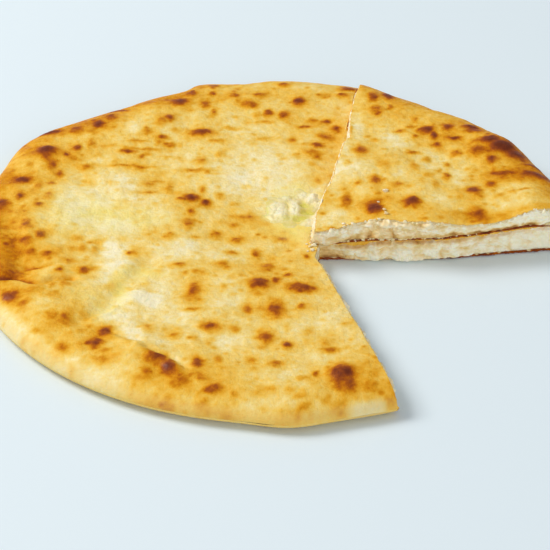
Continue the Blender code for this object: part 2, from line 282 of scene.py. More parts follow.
# %% Blisters
MAIN_BLISTERS = (
    (-123, 68, 4.7, 4.4, 1), (-122, 61, 2.4, 4.4, 0.52), (-97, 96, 2.7, 3.3, 0.9),
    (-107, 71, 2.1, 3.2, 0.75), (-100, 76, 2.1, 4.3, 0.55), (-80, 68, 4, 1.8, 0.8),
    (-70, 71, 7, 1.2, 0.5), (-133, 39, 4.2, 3, 0.85), (-124, 33, 2.6, 2.5, 0.6),
    (-133, 23, 2.6, 3.5, 0.75), (-141, 16, 3.2, 3.4, 0.62), (-101, 53, 3.2, 2.6, 0.6),
    (-118, 22, 2.6, 3.9, 0.55), (-122, 14, 2.6, 1.9, 0.55), (-118, 36, 2.1, 2.5, 0.5),
    (-127, -5, 2.5, 3.8, 0.6), (-119, -14, 2.5, 3.3, 0.8), (-132, -18, 1.5, 3.7, 0.25),
    (-119, 54, 2.1, 4.1, 0.5), (-114, 45, 1.6, 2.6, 0.55), (-131, 54, 1.6, 2.1, 0.4),
    (-109, 90, 3.3, 3.8, 0.5), (-124, 91, 4.9, 2, 0.8), (-89, 114, 4.4, 2, 0.5),
    (-91, 104, 2.7, 3.3, 0.45), (-101, -15, 3.5, 1.9, 0.45), (-72, 0, 2, 1.9, 0.3),
    (-112, 64, 1.6, 2.1, 0.35), (-82, 54, 6.5, 1.1, 0.48), (-71, 89, 2.2, 3.8, 0.45),
    (-54, 121.5, 4.5, 4.2, 0.78), (-59, 102, 2.7, 3.3, 0.84), (-63, 98, 3.3, 4.4, 0.62),
    (-41.5, 88, 6, 3.7, 1), (-62, 83, 3.2, 2.4, 0.82), (-63, 79, 2.2, 2.1, 0.55),
    (-58, 76, 3.2, 2.3, 0.6), (-40, 119, 2.8, 4.6, 0.62), (-35, 111, 1.7, 3.9, 0.6),
    (-36, 132, 1.7, 2.3, 0.5), (-36, 142, 2.8, 2.3, 0.6), (-48, 131, 2.2, 3.5, 0.45),
    (-16, 120, 3.9, 3.4, 0.75), (-5, 110, 2.2, 3.6, 0.82), (-11, 108, 2.2, 2.8, 0.4),
    (4, 108, 2.2, 4, 0.68), (-6, 101, 4.4, 1.5, 0.5), (-25, 94, 4.4, 1.6, 0.5),
    (-32, 80, 3.8, 1.9, 0.5), (-24, 129, 2.8, 2.3, 0.45), (-10, 130, 3.4, 2.8, 0.55),
    (4, 142, 2.8, 2.8, 0.65), (-41, 59, 3.2, 3.1, 0.62), (-43, 50, 6.9, 1.6, 0.55),
    (-31, 66, 2.7, 3.2, 0.4), (-39, 31, 1.6, 3, 0.66), (-44, 23, 4.1, 3, 0.97),
    (-49, 21, 3.1, 1.6, 0.7), (-37, 19, 2.6, 3.3, 0.95), (-44, 9, 2, 2.9, 0.45),
    (-30, 27, 2.1, 3, 0.4), (-23, 20, 2.1, 2.3, 0.38), (-16, 8, 4.2, 2, 0.46),
    (-22, 0, 2, 1.9, 0.5), (-45, -1, 2.5, 3.8, 0.68), (-8, 83, 3.8, 1.9, 0.42),
    (-57, 32, 2.1, 2.4, 0.45), (-67, 37, 3.1, 1.8, 0.35), (-72, 64, 1.6, 2.1, 0.5),
    (12, 122, 3.3, 4.1, 0.96), (26, 102, 2.7, 2.2, 0.62), (19, 103, 3.3, 2.2, 0.45),
    (15, 96, 3.8, 1.5, 0.5), (32, 94, 2.7, 3.3, 0.76), (26, 86, 3.8, 3.3, 0.6),
    (21, 77, 3.2, 3.2, 0.76), (18, 69, 3.7, 3.7, 0.52), (21, 65, 2.1, 2.6, 0.5),
    (36, 130, 3.4, 2.8, 0.55), (40, 138, 4.5, 2.8, 0.88), (27, 130, 3.9, 2.3, 0.38),
    (8, 81, 1.6, 2.2, 0.4), (10, 67, 2.1, 2.1, 0.32), (21, 43, 1.6, 2, 0.4),
    (-73, -29, 2.5, 2.7, 0.85), (-94, -45, 3.2, 3.2, 0.66), (-107, -46, 2, 2.7, 0.72),
    (-97, -25, 2, 2.7, 0.55), (-91, -25, 1.5, 2.4, 0.45), (-115, -31, 3.2, 2.4, 0.5),
    (-119, -41, 5, 1.1, 0.45), (-128, -68, 4.3, 3.8, 0.66), (-121, -76, 1.9, 2.5, 0.5),
    (-100, -89, 2.8, 4.6, 0.55), (-106, -87, 2.4, 4, 0.44), (-80.5, -98, 3.3, 4.1, 0.85),
    (-84.5, -107.5, 3.3, 4.2, 0.84), (-92, -108, 1.9, 2.4, 0.25), (-102, -112, 4.2, 4, 0.66),
    (-120, -100, 1.9, 2.8, 0.56), (-95, -123, 1.4, 2.3, 0.5), (-80, -114, 2.3, 1.6, 0.5),
    (-81, -120, 2.8, 2.3, 0.45), (-104, -60, 1.5, 3.5, 0.45), (-109, -62, 1.4, 3.5, 0.4),
    (-80, -57, 1.9, 3.5, 0.34), (-61, -97, 2.3, 4.1, 0.38), (-60, -130, 2.7, 3.8, 0.4),
    (-113, -105, 2.8, 2.4, 0.38), (-54, -13, 3, 2.8, 0.6), (-41, -13, 2.5, 1.4, 0.5),
    (-31, -9, 2.5, 3.3, 0.55), (-21, -14, 3, 2.8, 0.66), (-23, -27, 3, 1.8, 0.66),
    (-11, -27, 2.5, 3.6, 0.62), (-49, -40, 3.4, 2.7, 0.72), (-27, -39, 3.4, 2.7, 0.55),
    (-5, -41, 2.9, 3.6, 0.45), (-45, -48, 1.5, 1.8, 0.4), (-40, -46, 2, 1.8, 0.42),
    (-41, -63, 2.9, 6, 0.66), (-41, -80, 3.8, 1.2, 0.6), (-9, -58, 4.7, 4, 1),
    (-1, -55, 1.9, 2.6, 0.8), (-1, -80, 4, 6, 0.96), (-32, -94, 3.8, 3.3, 0.77),
    (-48, -101, 2.3, 3.2, 0.62), (-39, -103, 1.9, 2.4, 0.4), (-20, -96, 1.9, 2.4, 0.5),
    (-14, -80, 1.9, 2.5, 0.45), (-5, -102, 3.3, 4.8, 0.86), (4, -109, 2.3, 2.9, 0.82),
    (-56, -121, 4.4, 3, 0.84), (-49, -123, 2.3, 2, 0.6), (-50, -128, 3.2, 3.7, 0.94),
    (-37, -124, 2.3, 3.1, 0.8), (-27, -121, 1.8, 3.1, 0.45), (-44, -137, 3.6, 3.8, 0.55),
    (-29, -143, 3.8, 2.8, 0.58), (-40, -133, 1.4, 1.5, 0.5), (-35, -136, 1.4, 1.5, 0.4),
    (-12, -121, 1.8, 2.3, 0.5), (-1, -124, 3.2, 2, 0.5), (-20, -146, 1.8, 1.9, 0.4),
    (-3, -143, 1.8, 1.5, 0.55), (-26, -61, 1.4, 2.6, 0.35), (-32, -107, 1.4, 1.6, 0.4),
    (11.5, -62, 5.6, 3.9, 0.9), (11, -77, 1.9, 2.5, 0.8), (24, -113, 4.6, 2.6, 0.6),
    (22, -107, 2.8, 2.9, 0.4), (28.8, -132.8, 5.4, 8, 0.98), (31.2, -139, 4.3, 5.8, 0.78),
    (40, -140, 3.6, 2.8, 0.26), (11, -135, 3.2, 1.5, 0.45), (18, -132, 1.4, 2.3, 0.55),
    (14, -98, 1.4, 2.4, 0.36), (3, -163, 2.2, 2.6, 0.45), (11, -153, 2.7, 2.2, 0.42),
    (5, -50, 2, 1.8, 0.5), (14, -30, 1.2, 1.8, 0.5), (2, -13, 3, 1.9, 0.6), (-69, 53, 5, 0.9, 0.34),
    (-68, 28, 6, 1.1, 0.4), (-90, 74, 4, 1.3, 0.35), (-74, 79, 4.5, 1.1, 0.38),
    (-63, 39, 5, 1, 0.3), (-101, -16, 3.2, 1.3, 0.42), (10, -147, 3.4, 2.4, 0.36),
    (28, -152, 4, 3.6, 0.26), (-34, -149, 3.4, 2.6, 0.36), (-60, -147, 4, 2.4, 0.32),
    (-50, -147, 2.6, 2.2, 0.3), (5, -144, 2.4, 2.2, 0.36), (-3, -143, 3.6, 2, 0.42),
    (-89, -24, 2.6, 1.6, 0.44), (-101, -90, 4.5, 4, 0.42), (-34, 47, 5, 1, 0.36),
    (-58, 64, 5, 1, 0.28), (-122, -29, 2.6, 2.4, 0.42), (-128, -46, 5, 3.4, 0.4),
    (-117, -66, 5, 4, 0.34), (-108, -70, 3, 2.4, 0.34), (-103, -36, 3, 2, 0.34),
    (-126, -18, 2.6, 2.4, 0.5), (-92, -18, 3, 1.6, 0.4),
)
UPPER_BLISTERS = (
    (52, 108, 2.7, 4.1, 0.72), (61, 112, 2.7, 4.1, 0.76), (54, 94, 3.3, 4.4, 0.62),
    (61, 97, 1.6, 2.9, 0.5), (39, 76, 1.3, 3.9, 0.6), (48, 68, 1.6, 2.1, 0.45),
    (52, 64, 2.7, 2.1, 0.46), (65, 73, 2.7, 1.7, 0.78), (72, 77, 2.7, 1.5, 0.6),
    (44, 52, 3.2, 4.2, 0.7), (36, 40, 1.6, 2.4, 0.55), (56, 53, 2.1, 1.5, 0.36),
    (71, 51, 3.7, 1.9, 0.72), (55, 38, 3.1, 4.1, 0.32), (71, 36, 2.1, 4.5, 0.56),
    (50, 24, 2.6, 3.8, 0.76), (41, 21, 2.1, 2, 0.36), (61, 18, 3.1, 2.2, 0.56),
    (35, 7, 2.5, 6.2, 0.8), (49, -4, 3.5, 5.3, 0.94), (51, 11, 2, 2.5, 0.32), (68, 1, 4, 3.8, 0.97),
    (27, -19, 2, 2.2, 0.6), (74, 84, 1.6, 2.8, 0.5), (79, 73, 4.3, 3.2, 0.97),
    (83, 68, 1.9, 3.7, 0.86), (84, 59, 2.1, 2.7, 0.7), (91, 75, 2.7, 3.2, 0.7),
    (103, 75, 3.5, 3, 0.8), (95, 64, 2.7, 1.6, 0.62), (107, 59, 4.4, 2.8, 0.6),
    (94, 49, 3.1, 2.7, 0.7), (78, 44, 2.1, 3.1, 0.6), (88, 39, 1.6, 2, 0.7),
    (87, 27, 2.1, 3.6, 0.87), (84, 33, 1, 2.6, 0.48), (111, 41, 2.6, 3.7, 0.7),
    (109, 17, 2.6, 3, 0.76), (100, 12, 3.6, 4.1, 0.92), (100, -7, 4.5, 4.7, 0.66),
    (133, 25, 6.5, 3.4, 0.5), (119, 8, 2.5, 1.7, 0.5), (113, 6, 2, 1.9, 0.5),
    (126, 9, 2.5, 1, 0.48), (81, 18, 1.5, 3, 0.44), (73, 68, 1.6, 2.1, 0.55),
    (135, 37, 4.7, 2, 0.68), (116, 27, 5.2, 1.6, 0.46), (111, 58, 5, 3.2, 0.95),
    (118, 53, 5.4, 4.2, 1), (124.5, 46, 4.6, 4.6, 0.76), (104, 50, 4.8, 4.4, 0.66),
    (103, 70, 3.6, 2.4, 0.5),
)
print(len(MAIN_BLISTERS), "blisters on the big piece,", len(UPPER_BLISTERS), "on the slice on top")

# %% [markdown]
# Between the blisters the crust is far from even. Where curd and butter lie
# close under it, it stays pale and soft; on the swells and at the rim it
# turns golden. Both are written as soft patches: place, half sizes and how
# much they add to or take from the browning. A few darker patches on the
# big piece right beside the slice on top are painted shade from that slice.

# %% Pale and golden areas
MAIN_AREAS = (
    (-99, 14, 22, 24, -0.3), (-72, 2, 18, 12, -0.22), (-83, -25, 9, 11, -0.34),
    (-84, -58, 8, 24, -0.26), (-62, -28, 14, 9, -0.16), (-30, -24, 26, 8, -0.1),
    (-54, -66, 9, 16, -0.16), (-44, -87, 12, 10, -0.14), (-14, 58, 30, 22, -0.22),
    (6, 26, 22, 22, -0.26), (-27, 40, 12, 12, -0.1), (-22, -74, 9, 14, -0.12),
    (23, -82, 9, 12, -0.18), (44, -153, 9, 3, -0.2), (-105, -117, 22, 8, -0.24),
    (-76, -130, 18, 8, -0.22), (-126, -95, 9, 9, -0.22), (0, -90, 12, 8, -0.08),
    # (-135, -28, ...) darkens the hollow beside the left fold: partly browning, partly painted shade.
    (-140, 50, 18, 40, 0.12), (-145, 0, 16, 30, 0.14), (-135, -28, 8, 17, 0.34),
    (-132, -62, 12, 16, 0.14), (-110, 100, 26, 12, 0.2), (-45, 132, 40, 14, 0.18),
    (10, 140, 40, 10, 0.18), (-44, 18, 16, 12, 0.1), (-10, -45, 20, 14, 0.12),
    (-45, -125, 26, 16, 0.14), (44, -131, 11, 18, 0.21), (40, -112, 8, 6, 0.1),
    (53, -149, 4, 4, 0.12), (5, -140, 24, 16, 0.03), (-90, -100, 16, 14, 0.12),
    # (22, 88, ...) and (22, 48, ...): painted shade beside the slice on top.
    (-100, -45, 16, 9, 0.1), (22, 88, 14, 16, 0.04), (22, 48, 7, 14, 0.12), (0, -160, 40, 8, 0.12),
    (-140, 57, 8, 12, -0.26), (-76, 93, 6, 6, -0.22), (-56, 92, 10, 14, -0.12),
    (-50, 60, 8, 8, -0.14), (-20, 140, 40, 7, -0.16), (18, 140, 16, 7, -0.12),
    (-62, 20, 8, 8, -0.12), (-34, 12, 8, 10, -0.16), (-46, -30, 8, 14, -0.18),
    (-62, -50, 8, 8, -0.16), (-67, -70, 9, 8, -0.46), (-77, -87, 9, 6, -0.36),
    (-67, -98, 7, 7, -0.4), (-55, -106, 8, 5, -0.26), (-46, -118, 5, 5, -0.22),
    (-22, -108, 12, 10, -0.18), (5, -100, 12, 8, -0.14), (40, -114, 12, 12, -0.16),
    (3, -137, 10, 8, -0.16), (-78, -41, 7, 6, -0.22), (-97, -38, 8, 5, -0.1),
    (-18, -60, 8, 8, -0.1), (-40, -100, 6, 8, -0.14), (24, 25, 6, 12, -0.18), (-13, 2, 7, 9, 0.26),
    (-4, -9, 10, 5, 0.16), (-112, 60, 14, 12, 0.22), (-126, 28, 6, 10, 0.12), (-90, 10, 26, 5, 0.1),
    (-78, 54, 8, 6, 0.16), (-87, -31, 5, 6, 0.22), (-82, -63, 8, 5, 0.18), (-100, -78, 12, 5, 0.12),
    (-140, 20, 8, 14, -0.14), (-112, -44, 10, 6, -0.14), (-118, -80, 12, 8, -0.16),
    (-100, -100, 9, 8, -0.14), (20, -120, 12, 10, -0.12), (-46, 0, 8, 8, 0.06),
    (4, -151, 18, 5, -0.14), (-94, 60, 8, 8, -0.12), (-84, 40, 8, 7, -0.14),
    (15, 141, 20, 6, -0.12), (-70, -25, 6, 8, 0.12), (-48, -70, 8, 8, 0.12),
    (-30, -95, 5, 10, 0.12), (-38, -73, 5, 8, 0.12), (10, -62, 8, 5, 0.12), (18, -80, 8, 5, 0.14),
    (-112, -34, 16, 11, 0.18), (-119, -43, 7, 5, 0.1), (-84, -70, 6, 8, 0.1),
    (-102, -97, 10, 4, 0.14), (-22, 95, 14, 10, -0.14), (-88, 95, 8, 6, 0.1),
    (-131, 8, 8, 12, 0.18), (-76, 121, 14, 6, 0.17), (-66, -71, 7, 6, -0.2), (-86, -78, 8, 6, 0.1),
    # (27, 76, ...): painted shade beside the slice on top.
    (27, 76, 6, 12, 0.11), (-38, -152, 20, 4, 0.13), (-88, -86, 7, 6, 0.2),
)
UPPER_AREAS = (
    (40, 32, 12, 14, -0.16), (58, 30, 12, 9, -0.14), (86, 52, 12, 9, -0.1), (24, -14, 9, 8, -0.2),
    (100, -4, 50, 5, -0.16), (32, -4, 6, 8, -0.12), (66, 44, 14, 8, -0.1), (80, 8, 14, 8, -0.06),
    (125, 55, 15, 13, 0.16), (138, 22, 14, 16, 0.16), (59, 51, 7, 7, -0.24), (117, 22, 8, 6, 0.18),
    (100, 70, 20, 12, 0.14), (68, -2, 10, 8, 0.16), (48, -4, 8, 8, 0.14), (100, 2, 16, 10, 0.12),
    (60, 105, 14, 14, 0.1), (120, 20, 20, 12, 0.1), (40, 79, 5, 14, -0.3), (35, 60, 4, 14, -0.2),
    (33, 38, 8, 9, -0.34), (58, 95, 6, 9, -0.2), (60, 65, 8, 11, -0.32), (94, 34, 9, 7, -0.2),
    (93, 20, 8, 6, -0.26), (95, 58, 10, 6, 0.08), (114, 46, 9, 6, 0.22), (122, 31, 14, 6, 0.26),
    (106, 5, 10, 5, -0.14), (26, 30, 5, 10, -0.18), (60, 92, 10, 8, 0.06), (82, 3, 7, 5, -0.2),
    (122, 10, 14, 5, -0.24), (74, 121, 9, 6, -0.4), (95, 107, 10, 6, -0.3), (115, 82, 8, 6, -0.26),
    (82, 42, 7, 7, -0.16), (60, 46, 8, 12, 0.12), (52, 6, 12, 8, 0.1), (104, -13, 24, 5, 0.34),
    (88, 62, 10, 6, 0.12), (46, 2, 8, 5, 0.1),
)
BUTTER_AREAS = (
    (-99, 8, 20, 16, 0.8), (-78, 4, 14, 10, 0.5), (-76, -62, 5, 12, 1), (-84, -78, 6, 8, 0.6),
    (-68, -46, 7, 8, 0.7), (-92, -66, 8, 6, 0.3), (9, 18, 15, 20, 0.9), (14, -8, 7, 10, 0.9),
    (-62, 0, 8, 5, 0.4), (4, -4, 12, 5, 0.6),
)
print(len(MAIN_AREAS), "areas on the big piece,", len(UPPER_AREAS), "on the slice on top")

# %% [markdown]
# A patch is a smooth oval hump, and noise moves the places a little before
# the humps are laid down, so no outline stays a plain oval. A blister has a
# dark core, a warm halo round it and a swelling of the skin. The even bake
# between them varies in broad and narrow waves, and is strewn with specks.


# %% Browning of a top crust
EVEN_BAKE = 0.315
DEEPEST_BAKE = 0.72
HALO_BAKE = 0.20


def wandering(x, y, seed, *waves):
    """Places moved a little by noise; a wave is its size and how far it moves them."""
    wide, deep = x, y
    for n, (size, across, along) in enumerate(waves):
        wide = wide + across * ripple(x, y, size, seed + n)
        deep = deep + along * ripple(x, y, size, seed + 2 + n)
    return wide, deep


def oval(x, y, cx, cy, half_wide, half_deep):
    """A smooth oval hump, 1 in the middle."""
    return np.exp(-(((x - cx) / half_wide) ** 2) - ((y - cy) / half_deep) ** 2)


def shaded_areas(x, y, areas, seed):
    """Sum of soft patches with wandering edges."""
    wide, deep = wandering(x, y, seed, (22.0, 5.0, 5.0), (8.0, 2.0, 2.0))
    return sum((change * oval(wide, deep, *spot) for *spot, change in areas), np.zeros(np.shape(x)))


def scorched(x, y, blisters, seed):
    """Scorch (1 at the darkest), warm halo and swelling left by the blisters."""
    wide, deep = wandering(x, y, seed, (5.0, 0.6, 0.7), (2.2, 0.3, 0.4))
    scorch, halo, swell = (np.zeros(np.shape(x)) for _ in range(3))
    for cx, cy, half_wide, half_deep, dark in blisters:
        away = np.hypot((wide - cx) / half_wide, (deep - cy) / half_deep)
        near = away < 4.0
        away = away[near]
        core = (0.03 + 0.58 * dark) * np.exp(-((away / 1.17) ** 2.4))
        warm = (0.2 + 0.8 * dark) * bell(away, 1.9)
        rise = dark * min(half_wide, half_deep) * 0.32 * bell(away, 1.0)
        for total, part in ((scorch, core), (halo, warm), (swell, rise)):
            total[near] = np.maximum(total[near], part)
    return scorch, halo, swell


def crust_state(x, y, blisters, areas, seed, rim, rim_gold):
    """Browning and scorch of a top crust at each place."""
    scorch, halo, _ = scorched(x, y, blisters, seed)
    waves = 0.10 * layered(x, y, 18.0, seed + 31) + 0.07 * layered(x, y, 7.0, seed + 37)
    base = EVEN_BAKE + waves + 0.98 * shaded_areas(x, y, areas, seed + 41)
    strewn = 0.30 * specks(x, y, 9.0, seed + 43) + 0.16 * specks(x, y, 4.5, seed + 47)
    base = base + strewn * smooth((base + 0.1) / 0.3)
    base = base + rim_gold * smooth((share_of(rim, x, y) - 0.84) / 0.12)
    return np.clip(np.clip(base, 0.0, DEEPEST_BAKE) + HALO_BAKE * halo, 0.0, 1.0), scorch


print("even bake:", EVEN_BAKE, "and round a blister:", round(EVEN_BAKE + HALO_BAKE, 3))

# %% [markdown]
# ## The cuts
# Every piece is a wedge between two cuts that meet at its tip. The cuts are
# given by points in millimetres. A piece keeps, for each of its two cuts, the
# way it runs, the way out of the piece and how long it is.

# %% Cuts
MAIN_TIP = np.array((18.0, -30.5))
FRONT_CUT_END = np.array((54.8, -150.0))
BACK_CUT_END = np.array((45.2, 147.0))
SIDE_CUT = np.array(((20.6, -17.0), (84.0, -16.2), (150.0, -6.5)))
KNIFE_GAP = 0.7
OVERHANG = 1.6


def leaving(start, through, rim):
    """Where a straight cut leaves the pie."""
    way = (through - start) / np.linalg.norm(through - start)
    reach = np.linspace(0.0, 220.0, 8801)
    out = share_of(rim, start[0] + way[0] * reach, start[1] + way[1] * reach) > 1.0
    return start + way * reach[np.argmax(out)]


def crossing(start, through, other, other_through):
    """Where two straight cuts cross."""
    way, other_way = through - start, other_through - other
    across = way[0] * other_way[1] - way[1] * other_way[0]
    apart = other - start
    return start + way * ((apart[0] * other_way[1] - apart[1] * other_way[0]) / across)


def make_piece(tip, ends, rim, top, base, edges):
    """A wedge: its tip, where its cuts leave the rim, its surfaces and its edges.

    edges holds two functions of the distance along a cut and of the level
    (0 underside, 1 top) that give how far the edge stands out from the chord.
    """
    angles = [math.atan2(end[1], end[0]) for end in ends]
    if angles[1] < angles[0]:
        angles[1] += math.tau
    ways = [(end - tip) / np.linalg.norm(end - tip) for end in ends]
    outward = [np.array((ways[0][1], -ways[0][0])), np.array((-ways[1][1], ways[1][0]))]
    lengths = [float(np.linalg.norm(end - tip)) for end in ends]
    return {
        "tip": tip, "angles": angles, "ways": ways, "outward": outward,
        "lengths": lengths, "rim": rim, "top": top, "base": base, "edges": edges,
    }


print("the front cut meets the rim at", leaving(MAIN_TIP, FRONT_CUT_END, pie_rim).round(1), "mm")

# %% [markdown]
# The skins of a wedge are fans: rays run from the tip to points along the
# rim, and rings join equal shares of the rays. Near the rim the rings crowd
# together so that the rounded edge stays smooth. Towards the tip every other
# ray is dropped, since the rays come together there.


# %% Places on a piece
def place(piece, turn, share, level):
    """Points of a piece: turn 0 to 1 round the rim, share 0 to 1 from the tip."""
    angle = piece["angles"][0] + (piece["angles"][1] - piece["angles"][0]) * turn
    reach = piece["rim"](angle)
    tip = piece["tip"]
    x = tip[0] + share * (reach * np.cos(angle) - tip[0])
    y = tip[1] + share * (reach * np.sin(angle) - tip[1])
    for way, outward, edge in zip(piece["ways"], piece["outward"], piece["edges"]):
        along = (x - tip[0]) * way[0] + (y - tip[1]) * way[1]
        inside = -((x - tip[0]) * outward[0] + (y - tip[1]) * outward[1])
        stray = edge(along, level) * bell(inside, 9.0)
        x, y = x + outward[0] * stray, y + outward[1] * stray
    return x, y


def ring_shares(piece, turn, spacing, edge_rings, rim_band):
    """Shares from the rim to the tip for the rays at some turns, one row per ring."""
    angle = piece["angles"][0] + (piece["angles"][1] - piece["angles"][0]) * turn
    reach = piece["rim"](angle)
    ray_x = reach * np.cos(angle) - piece["tip"][0]
    ray_y = reach * np.sin(angle) - piece["tip"][1]
    length = np.hypot(ray_x, ray_y)
    lean = (ray_x * np.cos(angle) + ray_y * np.sin(angle)) / length
    band = rim_band * reach / lean
    quarter = np.linspace(math.pi / 2.0, 0.0, edge_rings + 1)
    edge = [band * (1.0 - math.sin(turn_in)) for turn_in in quarter]
    count = max(2, int(float((length - band).max()) / spacing))
    inner = [band + (length - band) * n / count for n in range(1, count + 1)]
    return np.clip(1.0 - np.array(edge + inner) / length, 0.0, 1.0)


# %% [markdown]
# A grid is points in rows, and `quads` joins them with four-cornered faces.
# A fan is rings of points, from the rim to the tip. Its faces are triangles,
# because a ring may have half as many points as the one outside it.


# %% Grids and fans
def quads(rows, columns, flip=False):
    """Faces of a grid of points stored row by row."""
    first = (np.arange(rows - 1)[:, None] * columns + np.arange(columns - 1)[None, :]).ravel()
    corners = (first, first + columns, first + columns + 1, first + 1)
    return np.stack(corners[::-1] if flip else corners, axis=1)


def fan_faces(counts, flip=False):
    """Triangles between rings that keep or halve their number of steps."""
    faces, start = [], 0
    for many, few in zip(counts, counts[1:]):
        outer, inner = start, start + many + 1
        n = np.arange(few)
        if many == few:
            a, b, c, d = outer + n, outer + n + 1, inner + n + 1, inner + n
            faces += [np.stack((a, b, c), 1), np.stack((a, c, d), 1)]
        else:
            a, b, c = outer + 2 * n, outer + 2 * n + 1, outer + 2 * n + 2
            d, e = inner + n, inner + n + 1
            faces += [np.stack((a, b, d), 1), np.stack((b, e, d), 1), np.stack((b, c, e), 1)]
        start = inner
    made = np.concatenate(faces)
    return made[:, ::-1] if flip else made


def fan(piece, steps, spacing, edge_rings, rim_band, level):
    """Places of a whole fan and the number of steps in each of its rings."""
    turn = np.linspace(0.0, 1.0, steps + 1)
    shares = ring_shares(piece, turn, spacing, edge_rings, rim_band)
    xs, ys, counts, every = [], [], [], 1
    for n, row in enumerate(shares):
        if n > 1 and row.mean() < 0.55 / every and steps % (2 * every) == 0 and steps // every > 8:
            every *= 2
        x, y = place(piece, turn[::every], row[::every], level)
        xs.append(x)
        ys.append(y)
        counts.append(steps // every)
    return np.concatenate(xs), np.concatenate(ys), counts


print("a grid of 3 by 4 points has", len(quads(3, 4)), "faces")

# %% [markdown]
# A finished piece is put together from several grids: the top skin, the
# underside, the cut faces and the pocket for the curd. Each grid brings its
# points, its faces and a few numbers per point, such as how brown it is.
# `gather` collects them and `as_object` turns them into one mesh at once,
# which is far quicker than adding faces one by one.


# %% From grids to a mesh
def gather(parts, points, faces, **numbers):
    """Add one grid to the parts of a piece."""
    filled = {}
    for name, value in numbers.items():
        filled[name] = np.broadcast_to(np.ravel(value).astype(float), (len(points),))
    parts.append((points, faces, filled))


def as_object(name, parts, names):
    """One mesh object, in metres, from all the parts of a piece."""
    points = np.concatenate([part[0] for part in parts])
    shift, loops, sizes = 0, [], []
    for part_points, faces, _ in parts:
        loops.append((faces + shift).ravel())
        sizes.append(np.full(len(faces), faces.shape[1]))
        shift += len(part_points)
    loops, sizes = np.concatenate(loops), np.concatenate(sizes)
    mesh = bpy.data.meshes.new(name)
    mesh.vertices.add(len(points))
    mesh.vertices.foreach_set("co", (points * MM).astype(np.float32).ravel())
    mesh.loops.add(len(loops))
    mesh.loops.foreach_set("vertex_index", loops.astype(np.int32))
    mesh.polygons.add(len(sizes))
    mesh.polygons.foreach_set("loop_start", (np.cumsum(sizes) - sizes).astype(np.int32))
    mesh.update(calc_edges=True)
    mesh.shade_smooth()
    for key in names:
        values = np.concatenate([p[2].get(key, np.zeros(len(p[0]))) for p in parts])
        attribute = mesh.attributes.new(key, "FLOAT", "POINT")
        attribute.data.foreach_set("value", values.astype(np.float32))
    mesh.validate()
    made = bpy.data.objects.new(name, mesh)
    bpy.context.scene.collection.objects.link(made)
    triangles = int((sizes - 2).sum())
    print(name, "has", triangles, "triangles")
    return made


def stacked(x, y, z):
    """Points from their coordinates."""
    return np.stack(np.broadcast_arrays(x, y, z), axis=-1).reshape(-1, 3)


print("points of a flat strip:", stacked(np.arange(3.0), 0.0, 0.0).shape)

# %% [markdown]
# ## The three pieces
# The knife ran across the pie and back again. The cuts are nearly straight;
# the slice on top was torn off by hand at the back, which left a jog in its
# left edge, and its top skin has drawn back from that edge.

# %% Edges of the pieces
def straight_edge(along, level):
    """A clean cut."""
    return 0.22 + 0.12 * ripple(along, 0.0 * along, 9.0, 3)


def bent_by(points, tip, end):
    """Distance along a chord and how far a bent cut stands out from it."""
    way = (end - tip) / np.linalg.norm(end - tip)
    outward = np.array((way[1], -way[0]))
    return (points - tip) @ way, (points - tip) @ outward


def side_edge(low_line, high_line, seed):
    """The open side of a slice: where it stands at the underside and at the top."""
    def edge(along, level):
        low, high = np.interp(along, *low_line), np.interp(along, *high_line)
        broad, fine = ripple(along, 3.0 * level, 11.0, seed), ripple(along, 3.0 * level, 4.0, seed + 1)
        return low + (high - low) * smooth(level) + (0.35 * broad + 0.15 * fine)
    return edge


UPPER_LEFT_TOP = (
    (0, 8, 16, 24, 33, 40, 48, 57, 66, 76, 85, 88, 98, 110, 120, 130, 141),
    (2.0, 2.6, 2.6, 1.8, 1.2, 0.2, -1.2, -1.6, -2.2, -2.6, -3.4, -5.2, -3.6, -2.6, -2.2, -2.6, -3.5),
)
UPPER_LEFT_BASE = (
    (0, 8, 16, 24, 33, 40, 48, 57, 66, 76, 85, 89, 98, 110, 120, 130, 141),
    (3.6, 4.4, 4.5, 3.6, 3.1, 2.2, 0.8, 0.2, -0.2, -0.5, -1.2, -3.6, -2.6, -2.0, -1.8, -2.2, -3.0),
)
UPPER_FRONT_TOP = (
    (0, 10, 17, 23, 33, 38, 45, 55, 65, 85, 93, 100, 108, 116, 128),
    (3.0, 1.6, -1.6, -2.5, -1.9, -0.1, 2.5, 4.7, 5.3, 5.2, 4.1, 3.2, 1.8, 0.2, 0.0),
)


def torn_edge(along, level):
    """The torn left edge of the slice on top."""
    low, high = np.interp(along, *UPPER_LEFT_BASE), np.interp(along, *UPPER_LEFT_TOP)
    return low + (high - low) * level**1.5 + 0.3 * ripple(along, 2.0 * level, 5.0, 19)


def slice_piece(overhang, rim, top, base, high_line, last_edge, seed):
    """A slice between the side cut and the back cut."""
    way = (SIDE_CUT[-1] - SIDE_CUT[0]) / np.linalg.norm(SIDE_CUT[-1] - SIDE_CUT[0])
    side = SIDE_CUT + np.array((way[1], -way[0])) * overhang
    back_way = (BACK_CUT_END - MAIN_TIP) / np.linalg.norm(BACK_CUT_END - MAIN_TIP)
    back = np.array((back_way[1], -back_way[0])) * KNIFE_GAP
    tip = crossing(side[0], side[1], MAIN_TIP + back, BACK_CUT_END + back)
    side[0] = tip
    side_end = leaving(side[1], side[2], rim)
    back_end = leaving(MAIN_TIP + back, BACK_CUT_END + back, rim)
    bend = bent_by(np.vstack((side[:2], side_end)), tip, side_end)
    first = side_edge(bend, high_line or bend, seed)
    return make_piece(tip, (side_end, back_end), rim, top, base, (first, last_edge))


